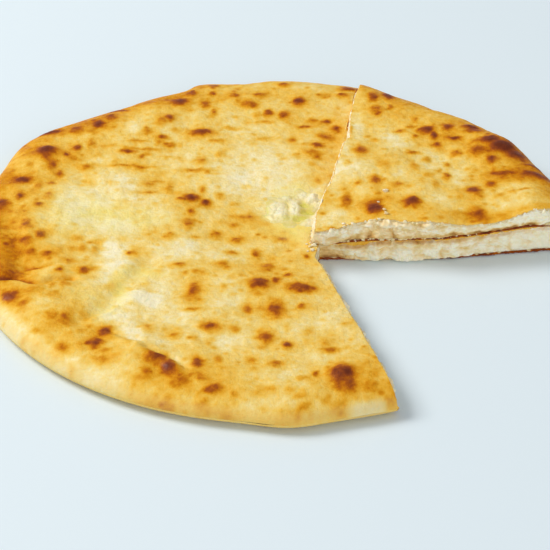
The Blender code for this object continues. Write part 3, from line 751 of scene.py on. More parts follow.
main_piece = make_piece(
    MAIN_TIP,
    (leaving(MAIN_TIP, BACK_CUT_END, pie_rim), leaving(MAIN_TIP, FRONT_CUT_END, pie_rim)),
    pie_rim, pie_top, pie_base, (straight_edge, straight_edge),
)
lower_piece = slice_piece(0.0, pie_rim, pie_top, pie_base, None, straight_edge, 5)
upper_piece = slice_piece(OVERHANG, upper_rim, upper_top, upper_base, UPPER_FRONT_TOP, torn_edge, 11)
for label, piece in (("big piece", main_piece), ("lower slice", lower_piece), ("upper slice", upper_piece)):
    print(label, "runs from", [round(math.degrees(a), 1) for a in piece["angles"]], "degrees")

# %% [markdown]
# ## Relief of the top crust
# The skin is never smooth: it swells softly over the curd, puckers between
# the swells, and has one deep fold at the left and a pinched ridge at the
# front. A crease is a line through a few points, with how far it rises and
# how wide it is. A puff is a round swelling or hollow.

# %% Creases and puffs
FOLD = (
    (-142, -50), (-135, -51), (-129, -51), (-124, -53), (-120, -56), (-114, -57), (-109, -54), (-101, -53),
)
FOLD_SIDE = ((-136, -2), (-132, -13), (-129, -24), (-128, -35), (-127, -46))
RIDGE = ((-65, -115), (-59, -119), (-53, -122), (-49, -126), (-45, -130))
CREASES = (
    (FOLD, -2.2, 2.6), (FOLD_SIDE, -1.8, 5.5), (RIDGE, 1.2, 3.2),
    (((-120, -18), (-109, -15), (-99, -15), (-90, -19), (-87, -28)), -0.5, 3.0),
    (((-63, -38), (-70, -50), (-76, -63), (-82, -76), (-87, -84), (-93, -90)), -1.6, 5.0),
    (((-88, -88), (-82, -83), (-77, -78)), 0.8, 1.3), (((-79, -102), (-73, -106), (-66, -110)), 0.9, 2.4),
    (((-78, -98), (-72, -102), (-64, -106)), -0.8, 2.0),
    (((-75, -95), (-67, -93), (-58, -89), (-48, -90), (-41, -93)), -0.6, 2.0),
    (((-60, -113), (-52, -117), (-46, -122), (-42, -127)), -0.9, 1.7),
    (((-121, -94), (-108, -112), (-95, -125)), 0.9, 6.0), (((-70, 30), (-52, 38), (-40, 40)), -0.5, 3.0),
    (((-85, 20), (-98, 34), (-104, 48)), -0.6, 5.0), (((-20, 40), (-8, 52), (4, 72)), -0.4, 5.0),
    (((8, -20), (-6, -32), (-22, -38)), -0.5, 4.0), (((27, 22), (33, 62), (40, 100)), -1.7, 13.0),
    (((-128, -24), (-120, -22), (-108, -26), (-98, -24)), 0.5, 2.2),
    (((-124, -40), (-114, -41), (-106, -38)), -0.7, 1.6), (((-104, -44), (-94, -48), (-90, -40)), -0.5, 2.2),
)
PUFFS = (
    (-77, -41, 7, 1), (-68, -71, 7, 1.3), (-112, -36, 12, 1.2), (-105, -76, 14, 1.3),
    (-100, 4, 16, -0.6), (29, -131, 7, 0.9), (-112, -70, 15, 1.2), (-120, -60, 7, 0.8),
    (-48, 22, 8, 0.7), (-41, 91, 8, 0.6), (-10, -55, 9, 0.7), (-30, -60, 12, 0.5),
    (-60, 110, 12, 0.7), (-122, 66, 10, 1),
)
UPPER_PUFFS = ((107, -16, 16, -1.8), (80, -18, 10, 1.1))
print(len(CREASES), "creases and", len(PUFFS), "puffs on the big piece")

# %% [markdown]
# A form is the top of a piece with its waves and folds, and a skin has the
# blisters as well. Both fade out over the rounded rim, so that the seam stays
# where it is. The slice below is pressed flat by the one that rests on it,
# and its hidden blisters come from chance.


# %% Forms and skins
def from_line(x, y, line):
    """Distance to a line drawn through several points."""
    nearest = np.full(np.shape(x), 1e6)
    for (ax, ay), (bx, by) in zip(line, line[1:]):
        dx, dy = bx - ax, by - ay
        t = np.clip(((x - ax) * dx + (y - ay) * dy) / (dx * dx + dy * dy), 0.0, 1.0)
        nearest = np.minimum(nearest, np.hypot(x - ax - t * dx, y - ay - t * dy))
    return nearest


def puckers(x, y, seed):
    """Soft waves of a thin skin over curd."""
    waves = ((0.60, 24.0), (0.46, 11.0), (0.24, 5.5), (0.10, 2.6))
    return sum(height * ripple(x, y, size, seed + n) for n, (height, size) in enumerate(waves))


def puffed(x, y, puffs):
    """Sum of the puffs at each place."""
    return sum(rise * bell(np.hypot(x - cx, y - cy), spread) for cx, cy, spread, rise in puffs)


def faded(rim, x, y):
    """1 inside, falling to 0 over the rounded rim."""
    return rounded(share_of(rim, x, y), ROUNDING_START)


def main_form(x, y):
    """Top of the big piece, without its blisters."""
    wide, deep = wandering(x, y, 67, (7.0, 0.8, 0.8))
    relief = puckers(x, y, 61) + puffed(wide, deep, PUFFS)
    for line, rise, spread in CREASES:
        relief = relief + rise * bell(from_line(wide, deep, line), spread)
    return pie_top(x, y) + relief * faded(pie_rim, x, y)


def upper_form(x, y):
    """Top of the slice on top, without its blisters."""
    relief = puckers(x, y, 83) + puffed(x, y, UPPER_PUFFS)
    return upper_top(x, y) + relief * faded(upper_rim, x, y)


def main_skin(x, y):
    """Top of the big piece."""
    return main_form(x, y) + scorched(x, y, MAIN_BLISTERS, 101)[2] * faded(pie_rim, x, y)


def upper_skin(x, y):
    """Top of the slice on top."""
    return upper_form(x, y) + scorched(x, y, UPPER_BLISTERS, 151)[2] * faded(upper_rim, x, y)


def hidden_blisters(count, seed, widest_turn):
    """Blisters at chance places on the slice below."""
    dice = np.random.default_rng(seed)
    for _ in range(count):
        away, turn = dice.uniform(30, 150), math.radians(dice.uniform(0.0, widest_turn))
        size = dice.uniform(2.0, 4.5)
        deep, dark = size * dice.uniform(0.7, 1.1), dice.uniform(0.4, 0.95)
        yield away * math.cos(turn), away * math.sin(turn), size, deep, dark


LOWER_BLISTERS = tuple(hidden_blisters(60, 5, 72.0))


def lower_skin(x, y):
    """Top of the slice below."""
    free = smooth((share_of(upper_rim, x, y) - 0.93) / 0.07)
    relief = puckers(x, y, 97) * 0.6 + scorched(x, y, LOWER_BLISTERS, 181)[2]
    return pie_top(x, y) + (relief * free - 0.1) * faded(pie_rim, x, y)


tallest = scorched(np.array([29.0]), np.array([-131.0]), MAIN_BLISTERS, 101)[2].max()
print("swell of the tallest blister:", round(float(tallest), 2), "mm")

# %% [markdown]
# ## How brown each crust is
# Each function gives browning, scorch and butter at places on a top crust.
# The rim of the big piece is golden by direction, in degrees from the right,
# and its front lip stayed pale, since the oven is cooler at the mouth.

# %% Crusts
RIM_GOLD = (
    (0, 95, 120, 150, 176, 200, 225, 245, 262, 282, 290, 360),
    (0.14, 0.06, 0.28, 0.26, 0.38, 0.2, 0.14, 0.12, 0.03, 0.0, 0.04, 0.14),
)
PALE_LIP = (
    (0, 190, 206, 228, 244, 281, 283, 287.4, 288.6, 360),
    (0.0, 0.0, 0.9, 0.7, 0.15, 0.1, 1.0, 1.0, 0.0, 0.0),
)


def by_direction(x, y, line):
    """A value that depends on the direction from the middle of the pie."""
    return np.interp(np.degrees(np.arctan2(y, x)) % 360.0, *line)


def main_crust(x, y):
    """Browning, scorch and butter of the big piece."""
    rim_gold = by_direction(x, y, RIM_GOLD)
    bake, scorch = crust_state(x, y, MAIN_BLISTERS, MAIN_AREAS, 101, pie_rim, rim_gold)
    # Darker along the fold and beside it: partly browning, partly painted shade in the crease and the hollow.
    bake += 0.20 * bell(from_line(x, y, FOLD), 3.0) + 0.08 * bell(from_line(x, y, FOLD_SIDE), 7.0)
    scorch = np.maximum(scorch, 0.34 * bell(from_line(x, y, FOLD[:5]), 2.0))
    scorch = np.maximum(scorch, 0.32 * bell(from_line(x, y + 3.0, RIDGE[1:]), 3.6))
    start = np.where(x > 20.0, 0.962, 0.943)
    lip = smooth((share_of(pie_rim, x, y) - start) / 0.03) * by_direction(x, y, PALE_LIP)
    butter = np.clip(shaded_areas(x, y, BUTTER_AREAS, 71), 0.0, 1.0)
    return bake * (1.0 - 0.7 * lip), scorch * (1.0 - 0.7 * lip), butter


def upper_crust(x, y):
    """Browning, scorch and butter of the slice on top."""
    bake, scorch = crust_state(x, y, UPPER_BLISTERS, UPPER_AREAS, 151, upper_rim, 0.18)
    return bake + 0.04, np.maximum(scorch - 0.03, 0.0), 0.0


def lower_crust(x, y):
    """Browning, scorch and butter of the slice below."""
    bake, scorch = crust_state(x, y, LOWER_BLISTERS, (), 181, pie_rim, 0.24)
    return bake + 0.05, scorch, 0.0


def underside(x, y, seed):
    """Browning and scorch of a base baked on a hot stone."""
    bake = 0.52 + 0.16 * layered(x, y, 14.0, seed) + 0.10 * ripple(x, y, 4.0, seed + 5)
    scorch = 0.9 * smooth((layered(x, y, 18.0, seed + 9) - 0.22) / 0.5)
    return np.clip(bake, 0.1, 0.85), scorch


print("browning at the middle:", round(float(main_crust(np.zeros(1), np.zeros(1))[0][0]), 2))

# %% [markdown]
# ## Cut faces
# Where the knife went through, three layers show: the top crust, the curd
# and the bottom crust. The curd fills a pocket that closes towards the rim.
# A cut face is a fine grid along the cut, one for each layer, with its
# stations closer together where the rim curves down.

# %% Layers at a cut
LAST_BAND = 20.0


def pocket(piece, x, y):
    """Roof and floor of the pocket for the curd, which closes at the rim."""
    top, base = piece["form"](x, y) - piece["sunk"](x, y), piece["base"](x, y)
    away = piece["rim"](np.arctan2(y, x)) - np.hypot(x, y)
    opened = np.sqrt(np.clip((away - RIM_WIDTH) / 5.0, 0.0, 1.0))
    middle = (top + base) / 2.0
    return middle + opened * (top - CRUST - middle), middle - opened * (middle - base - CRUST)


def stations(length, spacing):
    """Distances along a cut from the tip to the rim."""
    straight = length - LAST_BAND
    inner = np.linspace(0.0, straight, int(straight / spacing))
    quarter = np.linspace(0.0, math.pi / 2.0, int(1.3 * LAST_BAND / spacing))[1:]
    return np.concatenate((inner, straight + LAST_BAND * np.sin(quarter)))


def along_cut(piece, side, along, level):
    """Places along a cut at a level."""
    turn = np.full(np.shape(along), float(side))
    return place(piece, turn, along / piece["lengths"][side], level)


def cut_lines(piece, side, along):
    """Heights of the four borders between the layers at a cut."""
    high, low = along_cut(piece, side, along, 1.0), along_cut(piece, side, along, 0.0)
    roof, floor = pocket(piece, *high)[0], pocket(piece, *low)[1]
    return piece["skin"](*high), np.maximum(roof, floor), floor, piece["base"](*low)


def layer_grid(piece, side, along, high, low, rows, top, base):
    """Points of one layer of a cut face, with how far down each is."""
    steps = np.linspace(0.0, 1.0, rows)[:, None]
    z = high + (low - high) * steps
    level = np.clip((z - base) / np.maximum(top - base, 0.01), 0.0, 1.0)
    x, y = along_cut(piece, side, np.broadcast_to(along, z.shape), level)
    return x, y, z, steps


def pushed(piece, side, x, y, out):
    """Places moved outwards from a cut."""
    outward = piece["outward"][side]
    return x + outward[0] * out, y + outward[1] * out


print("stations along the front cut:", len(stations(main_piece["lengths"][1], 0.5)))

# %% [markdown]
# The cut crumb of the dough is slightly torn, and browned for a short way in
# from the outside: deeper at the bottom crust, which lay on a hot stone. On
# the front of the lower slice the top crust is darkened further, which is
# painted shade under the slice on top.

# %% Cut dough
CRUMB_ROWS = 9


def crumb_band(parts, piece, side, spacing, upper, browned_and_shaded):
    """The cut crust above or below the curd; the browning table says how deep the bake goes, in mm, and on
    the top crust of the lower slice's front it also paints the shade under the slice on top.
    """
    along = stations(piece["lengths"][side], spacing)
    top, roof, floor, base = cut_lines(piece, side, along)
    high, low = (top, roof) if upper else (floor, base)
    x, y, z, steps = layer_grid(piece, side, along, high, low, CRUMB_ROWS, top, base)
    wide, flat = np.broadcast_to(along, z.shape), 0.0 * z
    torn = 0.6 * ripple(wide, z, 2.6, 211 + side) + 0.4 * ripple(wide, z, 1.1, 223 + side)
    arch = np.sin(math.pi * np.clip(steps, 0.0, 1.0)) ** 0.5
    x, y = pushed(piece, side, x, y, (torn + (0.3 if upper else 0.8)) * arch * smooth(along / 3.0))
    depth = (steps if upper else 1.0 - steps) * np.maximum(np.abs(high - low), 0.3)
    skin = np.interp(wide, *browned_and_shaded) * (0.85 + 0.55 * ripple(wide, flat, 3.0, 227))
    skin = skin + 0.15 * ripple(wide, z, 1.2, 229)
    bake = (0.48 if upper else 0.78) + 0.12 * ripple(wide, flat, 5.0, 231)
    uneven = 0.8 + 0.5 * ripple(wide, z, 2.4, 233)
    scorch = flat if upper else np.clip(0.42 * smooth((skin - 0.4) / 0.5) * uneven, 0.0, 1.0)
    gather(
        parts, stacked(x, y, z), quads(CRUMB_ROWS, len(along), side == 1),
        bake=bake, scorch=scorch, crumb=smooth((depth - skin) / 0.4),
    )


print("rows of points across a cut crust:", CRUMB_ROWS)

# %% [markdown]
# The curd stands out in soft packed lumps. On the open side of the lower
# slice some of it has run down over the bottom crust. Between the lumps it
# is darker and more yellow than on them: partly moister curd, partly painted
# shade in the hollows between the lumps.


# %% Cut curd
def packed(across, up, seed):
    """Lumps of packed curd, 0 to 1, in three sizes."""
    wide = 0.75 * across + 0.9 * ripple(across, up, 4.5, seed)
    high = 1.5 * up + 0.9 * ripple(across, up, 4.5, seed + 1)
    sizes = ((0.46, 4.6), (0.32, 2.2), (0.22, 1.1))
    return sum(part * grains(wide, high, size, seed + 2 + n) for n, (part, size) in enumerate(sizes))


def patchy(along, seed, even, *waves):
    """How much soft curd moves along a cut, 0 to 1; a wave is its strength and its size."""
    for n, (strength, size) in enumerate(waves):
        even = even + strength * ripple(along, 0.0 * along, size, seed + n)
    return np.clip(even, 0.0, 1.0)


def curd_face(parts, piece, side, spacing, rows, face):
    """The curd between the crusts, with its lumps and the runs over the bottom crust."""
    along = stations(piece["lengths"][side], spacing)
    along = along[along < piece["lengths"][side] - RIM_WIDTH + 0.5]
    top, roof, floor, base = cut_lines(piece, side, along)
    seed, (climbs, droops) = face["seed"], face["spread"]
    climb = patchy(along, seed + 11, 0.45, (0.9, 6.0), (0.9, 2.0)) * climbs * np.interp(along, *face["rise"])
    droop = patchy(along, seed + 13, 0.2, (1.1, 8.0), (0.8, 2.6)) * droops * np.interp(along, *face["hang"])
    x, y, z, steps = layer_grid(piece, side, along, roof + 0.1, floor - 0.1, rows, top, base)
    z = z + (top - roof) * climb * smooth(1.0 - steps / 0.35) - droop * smooth((steps - 0.62) / 0.38)
    wide = np.broadcast_to(along, z.shape)
    lumps = packed(wide, z, seed)
    taper = smooth(np.minimum(steps, 1.0 - steps) / 0.11) * smooth((roof - floor) / 2.5)
    taper = taper * smooth(along / 4.0) * np.interp(along, *face["fullness"])
    out = (0.25 + 2.5 * lumps**1.3 + 0.8 * ripple(wide, z, 8.0, seed + 7)) * taper
    run_cover = np.zeros(z.shape)
    for middle, half, strength in face["runs"]:
        run = strength * np.exp(-np.abs((wide - middle) / half) ** 3.0)
        lower = smooth((steps - 0.25) / 0.75)
        out = out + run * lower * (1.5 + 0.9 * packed(wide, z, seed + 21))
        z = z - run * lower**2 * (floor - 0.25)
        run_cover = np.maximum(run_cover, run * lower)
    x, y = pushed(piece, side, x, y, out)
    # Darker between the lumps: partly moister curd, partly painted shade in the hollows.
    moist = 0.60 - 0.62 * lumps + 0.26 * layered(0.7 * wide, 1.2 * z, 4.0, seed + 9) - 0.2 * run_cover
    ragged = 1.0 + 0.7 * ripple(wide, z, 3.0, seed + 31)
    # Tone: darker or lighter along the cut; on the front of the slice on top the darker middle is painted
    # shade under its top crust.
    moist += np.interp(wide, *face["tone"])
    moist += np.interp(wide, *face["toast"]) * smooth((steps - 0.42) / 0.45) * ragged
    # Painted shade near the roof, where the slice on top overhangs.
    moist += np.interp(wide, *face["shade"]) * smooth(1.0 - steps / 0.3) * ragged
    points = stacked(x, y, np.maximum(z, 0.12))
    gather(parts, points, quads(rows, len(along), side == 1), moist=np.clip(moist, 0.0, 1.0))


print("height of a lump at one place:", round(float(packed(np.array([5.0]), np.array([4.0]), 503)[0]), 2))

# %% [markdown]
# ## Putting each piece together
# The dough of a piece is a closed shell: skin, base, two cut faces and the
# walls of the pocket. The curd is a second mesh that fills the pocket. Under
# the front of the lower slice it has sunk away from the top crust.


# %% Dough and curd of a piece
def pocket_walls(parts, piece, steps, shrink, inward, **numbers):
    """Coarse fans over the roof and the floor of the pocket, facing in or out."""
    band = RIM_WIDTH / float(np.mean(piece["rim"](np.linspace(*piece["angles"], 50))))
    for upper in (True, False):
        x, y, counts = fan(piece, steps, 5.0, 6, band + 0.035, 0.86 if upper else 0.14)
        roof, floor = pocket(piece, x, y)
        height = np.maximum(roof - shrink, floor + shrink) if upper else floor + shrink
        gather(parts, stacked(x, y, height), fan_faces(counts, upper == inward), **numbers)


def dough_object(name, piece, steps, spacing, crust, cut_spacing, browned_and_shaded, hole, seed):
    """The dough shell of one piece."""
    parts = []
    x, y, counts = fan(piece, steps, spacing, 24, 1.0 - ROUNDING_START, 1.0)
    bake, scorch, butter = crust(x, y)
    faces = fan_faces(counts)
    if hole is not None:
        faces = faces[~hole(x, y)[faces].all(axis=1)]
    seam = piece["seam"](x, y) * smooth((share_of(piece["rim"], x, y) - 0.972) / 0.02)
    top = stacked(x, y, piece["skin"](x, y))
    gather(parts, top, faces, bake=bake, scorch=scorch, butter=butter, crumb=seam)
    x, y, counts = fan(piece, steps // 2, 3.0, 10, 1.0 - LIFT_START, 0.0)
    bake, scorch = underside(x, y, seed)
    share = share_of(piece["rim"], x, y)
    paler = smooth((share - 0.93) / 0.06)
    bake, scorch = bake + (0.34 - bake) * paler, scorch * (1.0 - paler)
    seam = piece["seam"](x, y) * smooth((share - 0.95) / 0.04)
    bottom = stacked(x, y, piece["base"](x, y))
    gather(parts, bottom, fan_faces(counts, True), bake=bake, scorch=scorch, crumb=seam)
    pocket_walls(parts, piece, steps // 8, 0.0, True, crumb=1.0)
    for side in (0, 1):
        for upper, depths in zip((True, False), browned_and_shaded[side]):
            crumb_band(parts, piece, side, cut_spacing[side], upper, depths)
    return as_object(name, parts, ("bake", "scorch", "butter", "crumb"))


def curd_parts(piece, steps, cut_spacing, rows, faces):
    """The curd layer of one piece."""
    parts = []
    pocket_walls(parts, piece, steps, 0.05, False, moist=0.4)
    for side in (0, 1):
        curd_face(parts, piece, side, cut_spacing[side], rows, faces[side])
    return parts


def no_hollow(x, y):
    """Curd that reaches the top crust everywhere."""
    return 0.0 * x


def front_hollow(x, y):
    """How far the curd of the lower slice has sunk under its top crust."""
    dip = np.exp(-(((x - 41.0) / 5.5) ** 4) - ((y + 16.0) / 12.0) ** 2)
    return 1.6 * dip + 0.6 * bell(x - 105.0, 22.0) * bell(y + 14.0, 12.0)


def plain_seam(x, y):
    """How pale the seam of a slice is."""
    return 0.5 + 0.0 * x


def main_seam(x, y):
    """How pale the seam of the big piece is: palest where the front kept cool."""
    return 0.12 + 0.22 * by_direction(x, y, PALE_LIP)


main_piece.update(form=main_form, skin=main_skin, sunk=no_hollow, seam=main_seam)
lower_piece.update(form=pie_top, skin=lower_skin, sunk=front_hollow, seam=plain_seam)
upper_piece.update(form=upper_form, skin=upper_skin, sunk=no_hollow, seam=plain_seam)
roof, floor = pocket(main_piece, np.array([-60.0]), np.zeros(1))
print("the curd is", round(float(roof[0] - floor[0]), 1), "mm thick inside the big piece")

# %% [markdown]
# ## The steam hole
# A hole is torn in the middle of the pie before it bakes, and the curd rises
# into it with the butter. The crust ends in an uneven edge there. A mound of
# curd comes up through it and lies a little over the edge. Its lumps and the
# pools of butter between them are oval humps: centre, half sizes and height.

# %% Steam hole
VENT_CENTRE, VENT_HALF = (9.5, 14.0), (18.5, 21.0)
VENT_WAVES = ((2, 0.6, 0.06), (3, 2.1, 0.10), (5, 0.4, 0.07), (8, 1.0, 0.04))
VENT_LUMPS = (
    (0, 14, 5.5, 8, 1.7), (2, 8, 4, 4, 1.9), (-4, 8, 4.5, 5, 1.2), (9, 16, 3.2, 10, 1.8),
    (9, -3, 4.5, 4, 1), (20, 27, 5.5, 8.5, 2.3), (13, 30, 4, 5, 1.4), (20, 9, 3, 4, 1.6),
    (16.5, 1, 4.5, 4.5, 2), (13, -5, 4, 3, 1.3), (3, 25, 5, 4, 1.2),
)
VENT_POOLS = (
    (15.5, 13, 4, 2.4, 1.2), (11, 6, 3, 3.4, 1.3), (14, 20, 2.6, 2.4, 0.9), (4, 6, 3, 2, 0.8),
    (-7, 15, 2.5, 6, 0.6), (3, 31, 4, 3, 0.5), (4, -6, 11, 3, 0.6), (14, -12, 2.5, 3, 0.7),
)
MOUND_REACH, MOUND_RINGS, MOUND_STEPS = 1.35, 84, 241


def vent_reach(turn):
    """Distance to the torn edge in each direction, as a share of the ellipse."""
    return 1.0 + sum(depth * np.sin(waves * turn + phase) for waves, phase, depth in VENT_WAVES)


def vent_share(x, y):
    """0 in the middle of the steam hole, 1 at its torn edge."""
    wide, deep = (x - VENT_CENTRE[0]) / VENT_HALF[0], (y - VENT_CENTRE[1]) / VENT_HALF[1]
    return np.hypot(wide, deep) / vent_reach(np.arctan2(deep, wide))


def from_back_cut(x, y):
    """How far a place lies inside the back cut of the big piece."""
    outward = main_piece["outward"][0]
    return -((x - MAIN_TIP[0]) * outward[0] + (y - MAIN_TIP[1]) * outward[1])


def in_vent(x, y):
    """True well inside the torn edge and away from the cut."""
    return (vent_share(x, y) < 0.6) & (from_back_cut(x, y) > 4.0)


def highest(x, y, humps, power):
    """The highest of several oval humps at each place; a higher power gives flatter tops."""
    found = 0.0
    for cx, cy, half_wide, half_deep, height in humps:
        away = np.hypot((x - cx) / half_wide, (y - cy) / half_deep)
        found = np.maximum(found, height * np.exp(-(away**power)))
    return found


def vent_mound(parts):
    """The curd that has risen into the hole and spread over its edge."""
    turn = np.linspace(0.0, math.tau, MOUND_STEPS)[None, :]
    share = np.linspace(MOUND_REACH, 0.0, MOUND_RINGS)[:, None]
    x = VENT_CENTRE[0] + share * VENT_HALF[0] * vent_reach(turn) * np.cos(turn)
    y = VENT_CENTRE[1] + share * VENT_HALF[1] * vent_reach(turn) * np.sin(turn)
    spare = from_back_cut(x, y)
    x, y = pushed(main_piece, 0, x, y, -np.maximum(0.6 - spare, 0.0))
    wide, deep = x + 1.2 * ripple(x, y, 6.0, 311), y + 1.6 * ripple(x, y, 6.0, 312)
    lumps, pools = highest(wide, deep, VENT_LUMPS, 2.5), highest(wide, deep, VENT_POOLS, 2.0)
    grained = 0.6 * grains(wide, 0.8 * deep, 4.2, 315) + 0.4 * grains(x, y, 1.9, 317)
    uneven = 0.30 * ripple(x, y, 9.0, 341) + 0.18 * ripple(x, y, 4.0, 343)
    cover = smooth((1.30 - share + uneven) / 0.6)
    heap = 1.35 + (0.35 + 0.65 * grained) * lumps - 0.7 * pools + 0.3 * ripple(x, y, 9.0, 331)
    z = main_form(x, y) - 1.5 + heap * cover + 0.5 * np.minimum(spare - 2.0, 0.0)
    moist = 0.42 - 0.16 * lumps - 0.16 * grained
    butter = 0.62 - 0.19 * lumps + 0.9 * pools - 0.1 * grained + 0.3 * (1.0 - cover)
    gather(
        parts, stacked(x, y, z), quads(MOUND_RINGS, MOUND_STEPS),
        moist=np.clip(moist, 0.0, 1.0), butter=np.clip(butter, 0.0, 1.0),
    )


print("the steam hole is about", 2.0 * VENT_HALF[0], "by", 2.0 * VENT_HALF[1], "mm")

# %% [markdown]
# ## Looks along the cuts
# Every look along a cut is a line: distances from the tip in mm, and the
# values there. `steady` is one value all along. The bottom crust is browned
# deeper than the top one, and the open front cuts of both slices, which are
# seen best, have lines of their own. Some of these lines paint shade: under
# the slice on top and under its top crust. A run is where soft curd has come
# down over the bottom crust: its middle, half width and strength.


# %% Looks along the cuts
def steady(value):
    """One value all along a cut."""
    return ((0, 150), (value, value))


def curd_side(seed, spread=(0.7, 0.7), runs=(), **lines):
    """How the curd looks on one cut side; spread is how far it climbs and droops."""
    look = dict.fromkeys(("fullness", "rise", "hang"), steady(1.0))
    look |= dict.fromkeys(("tone", "toast", "shade"), steady(0.0))
    return {"seed": seed, "spread": spread, "runs": runs, **look, **lines}


PLAIN_CUT = (steady(0.15), steady(0.7))
LOWER_FRONT_CUT = (
    # Top crust: browned deep, partly painted shade under the slice on top.
    ((0, 12, 17, 25, 29, 84, 108, 118, 150), (0.3, 0.9, 3.2, 3.2, 1.0, 1.5, 1.5, 0.3, 0.3)),
    ((0, 9, 15, 50, 60, 66, 80, 150), (1.6, 1.4, 0.6, 0.4, 0.7, 1.4, 1.7, 1.7)),
)
UPPER_FRONT_CUT = (
    steady(0.15),
    (
        (0, 10, 18, 30, 46, 60, 66, 72, 108, 114, 124, 150),
        (0.3, 0.6, 1.6, 1.3, 1.1, 1.3, 1.8, 2.4, 2.4, 1.2, 0.5, 0.5),
    ),
)
RUNS = ((25.5, 7.0, 0.75), (43.5, 7.5, 1.0), (57, 7.0, 0.55), (68.5, 2.6, 0.45), (74.5, 2.6, 0.4))
LOWER_FRONT_CURD = curd_side(
    541, (1.0, 1.0), RUNS,
    fullness=((0, 7, 13, 60, 72, 150), (0.1, 0.15, 1.0, 1.0, 0.75, 0.75)),
    hang=((0, 58, 67, 150), (0.6, 0.6, 0.0, 0.0)),
    rise=((0, 10, 14, 24, 30, 50, 60, 112, 120, 150), (0, 0.2, 0, 0, 1, 1, 0.4, 0.3, 1.2, 1.2)),
    tone=((0, 7, 12, 30, 60, 110, 130), (0.18, 0.22, 0.06, 0.03, 0.01, -0.15, -0.2)),
    toast=((0, 12, 17, 150), (0.45, 0.45, 0.0, 0.0)),
    # shade: painted shade under the slice on top.
    shade=((0, 8, 14, 28, 34, 60, 80, 100, 112, 150), (0.1, 0.3, 0.3, 0.2, 0.35, 0.3, 0.25, 0.1, 0, 0)),
)
UPPER_FRONT_CURD = curd_side(
    587, (1.0, 1.3),
    fullness=((0, 12, 16, 24, 30, 58, 68, 108, 116, 150), (1, 1, 0.6, 0.6, 1, 0.9, 0.45, 0.45, 1, 1)),
    hang=((0, 10, 13, 24, 28, 56, 66, 108, 116, 150), (1, 1, 0.1, 0.1, 1, 0.9, 0, 0, 1, 1)),
    # tone: the darker middle is painted shade under the top crust of this slice.
    tone=((0, 10, 20, 50, 70, 100, 130), (-0.26, -0.08, 0.07, 0.10, 0.03, -0.2, -0.3)),
    toast=((0, 10, 16, 26, 34, 58, 66, 74, 108, 114, 150), (0.2, 0.2, 0.5, 0.5, 0.25, 0.3, 0.55, 1, 1, 0, 0)),
)
print(len(RUNS), "runs of soft curd over the lower edge")

# %% [markdown]
# ## Build the pieces
# The pieces with the most to show get the finest grids: steps round the rim,
# spacing of the rings, and spacing along the two cuts.

# %% Build the pieces
main_dough = dough_object(
    "big_piece_dough", main_piece, 576, 1.05, main_crust, (0.5, 0.5), (PLAIN_CUT, PLAIN_CUT), in_vent, 401,
)
lower_dough = dough_object(
    "lower_slice_dough", lower_piece, 256, 1.4, lower_crust, (0.35, 0.6), (LOWER_FRONT_CUT, PLAIN_CUT),
    None, 419,
)
upper_dough = dough_object(
    "upper_slice_dough", upper_piece, 320, 0.8, upper_crust, (0.35, 0.4), (UPPER_FRONT_CUT, PLAIN_CUT),
    None, 431,
)
main_sides = (curd_side(501, fullness=steady(0.3)), curd_side(521))
lower_sides = (LOWER_FRONT_CURD, curd_side(561, fullness=steady(0.1)))
upper_sides = (UPPER_FRONT_CURD, curd_side(607, (0.9, 0.3), fullness=steady(0.35)))
main_curd_parts = curd_parts(main_piece, 80, (0.45, 0.45), 22, main_sides)
vent_mound(main_curd_parts)
main_curd = as_object("big_piece_curd", main_curd_parts, ("moist", "butter"))
lower_curd_parts = curd_parts(lower_piece, 40, (0.33, 0.8), 30, lower_sides)
lower_curd = as_object("lower_slice_curd", lower_curd_parts, ("moist", "butter"))
upper_curd_parts = curd_parts(upper_piece, 40, (0.33, 0.5), 30, upper_sides)
upper_curd = as_object("upper_slice_curd", upper_curd_parts, ("moist", "butter"))

# %% [markdown]
# ## Crumbs of curd
# A few bits of curd have fallen on the top crusts and more cling to the cuts.
# Each is a small ball pushed about by noise; all of them are one mesh. A
# fallen crumb has a place and a radius. A row of clinging ones has its cut,
# where it starts and ends, how many, the smallest and largest radius, the
# level (0 underside, 1 top) and how far they stand out.

# %% Crumbs
FALLEN = {
    "upper": (
        (55, 12, 1.1), (53.6, -6, 0.7), (54.6, -9.5, 0.8), (54.2, -8, 0.5), (51, 2, 0.5), (47.5, -17, 0.6),
        (33, -15.5, 0.8),
    ),
    "main": (
        (17.4, -24.5, 0.9), (16.2, -21, 0.7), (15, -25.5, 0.5), (18.2, -19.5, 1.1), (18.3, -14.5, 1),
        (14.6, -18, 0.5), (16.8, -17, 0.7),
    ),
}
CLINGING = (
    ("upper", 0, 8, 66, 46, 0.3, 0.95, 0.93, 0.1), ("upper", 0, 106, 128, 8, 0.3, 1.1, 0.95, 0),
    ("upper", 0, 10, 46, 22, 0.4, 0.9, 0.12, 0.7), ("upper", 0, 50, 80, 12, 0.3, 0.7, 0.14, 0.6),
    ("lower", 0, 12, 80, 24, 0.35, 0.8, 0.25, 0.9), ("upper", 1, 4, 70, 14, 0.3, 0.9, 0.88, -0.2),
    ("main", 0, 0, 26, 14, 0.35, 0.8, 0.9, 0),
)
BALL_ROWS, BALL_STEPS = 14, 22


def ball(rings, steps):
    """Directions over a ball, row by row from the top down."""
    down = np.linspace(0.0, math.pi, rings)[:, None]
    turn = np.linspace(0.0, math.tau, steps)[None, :]
    sideways = np.sin(down)
    return np.stack(np.broadcast_arrays(sideways * np.cos(turn), sideways * np.sin(turn), np.cos(down)), -1)


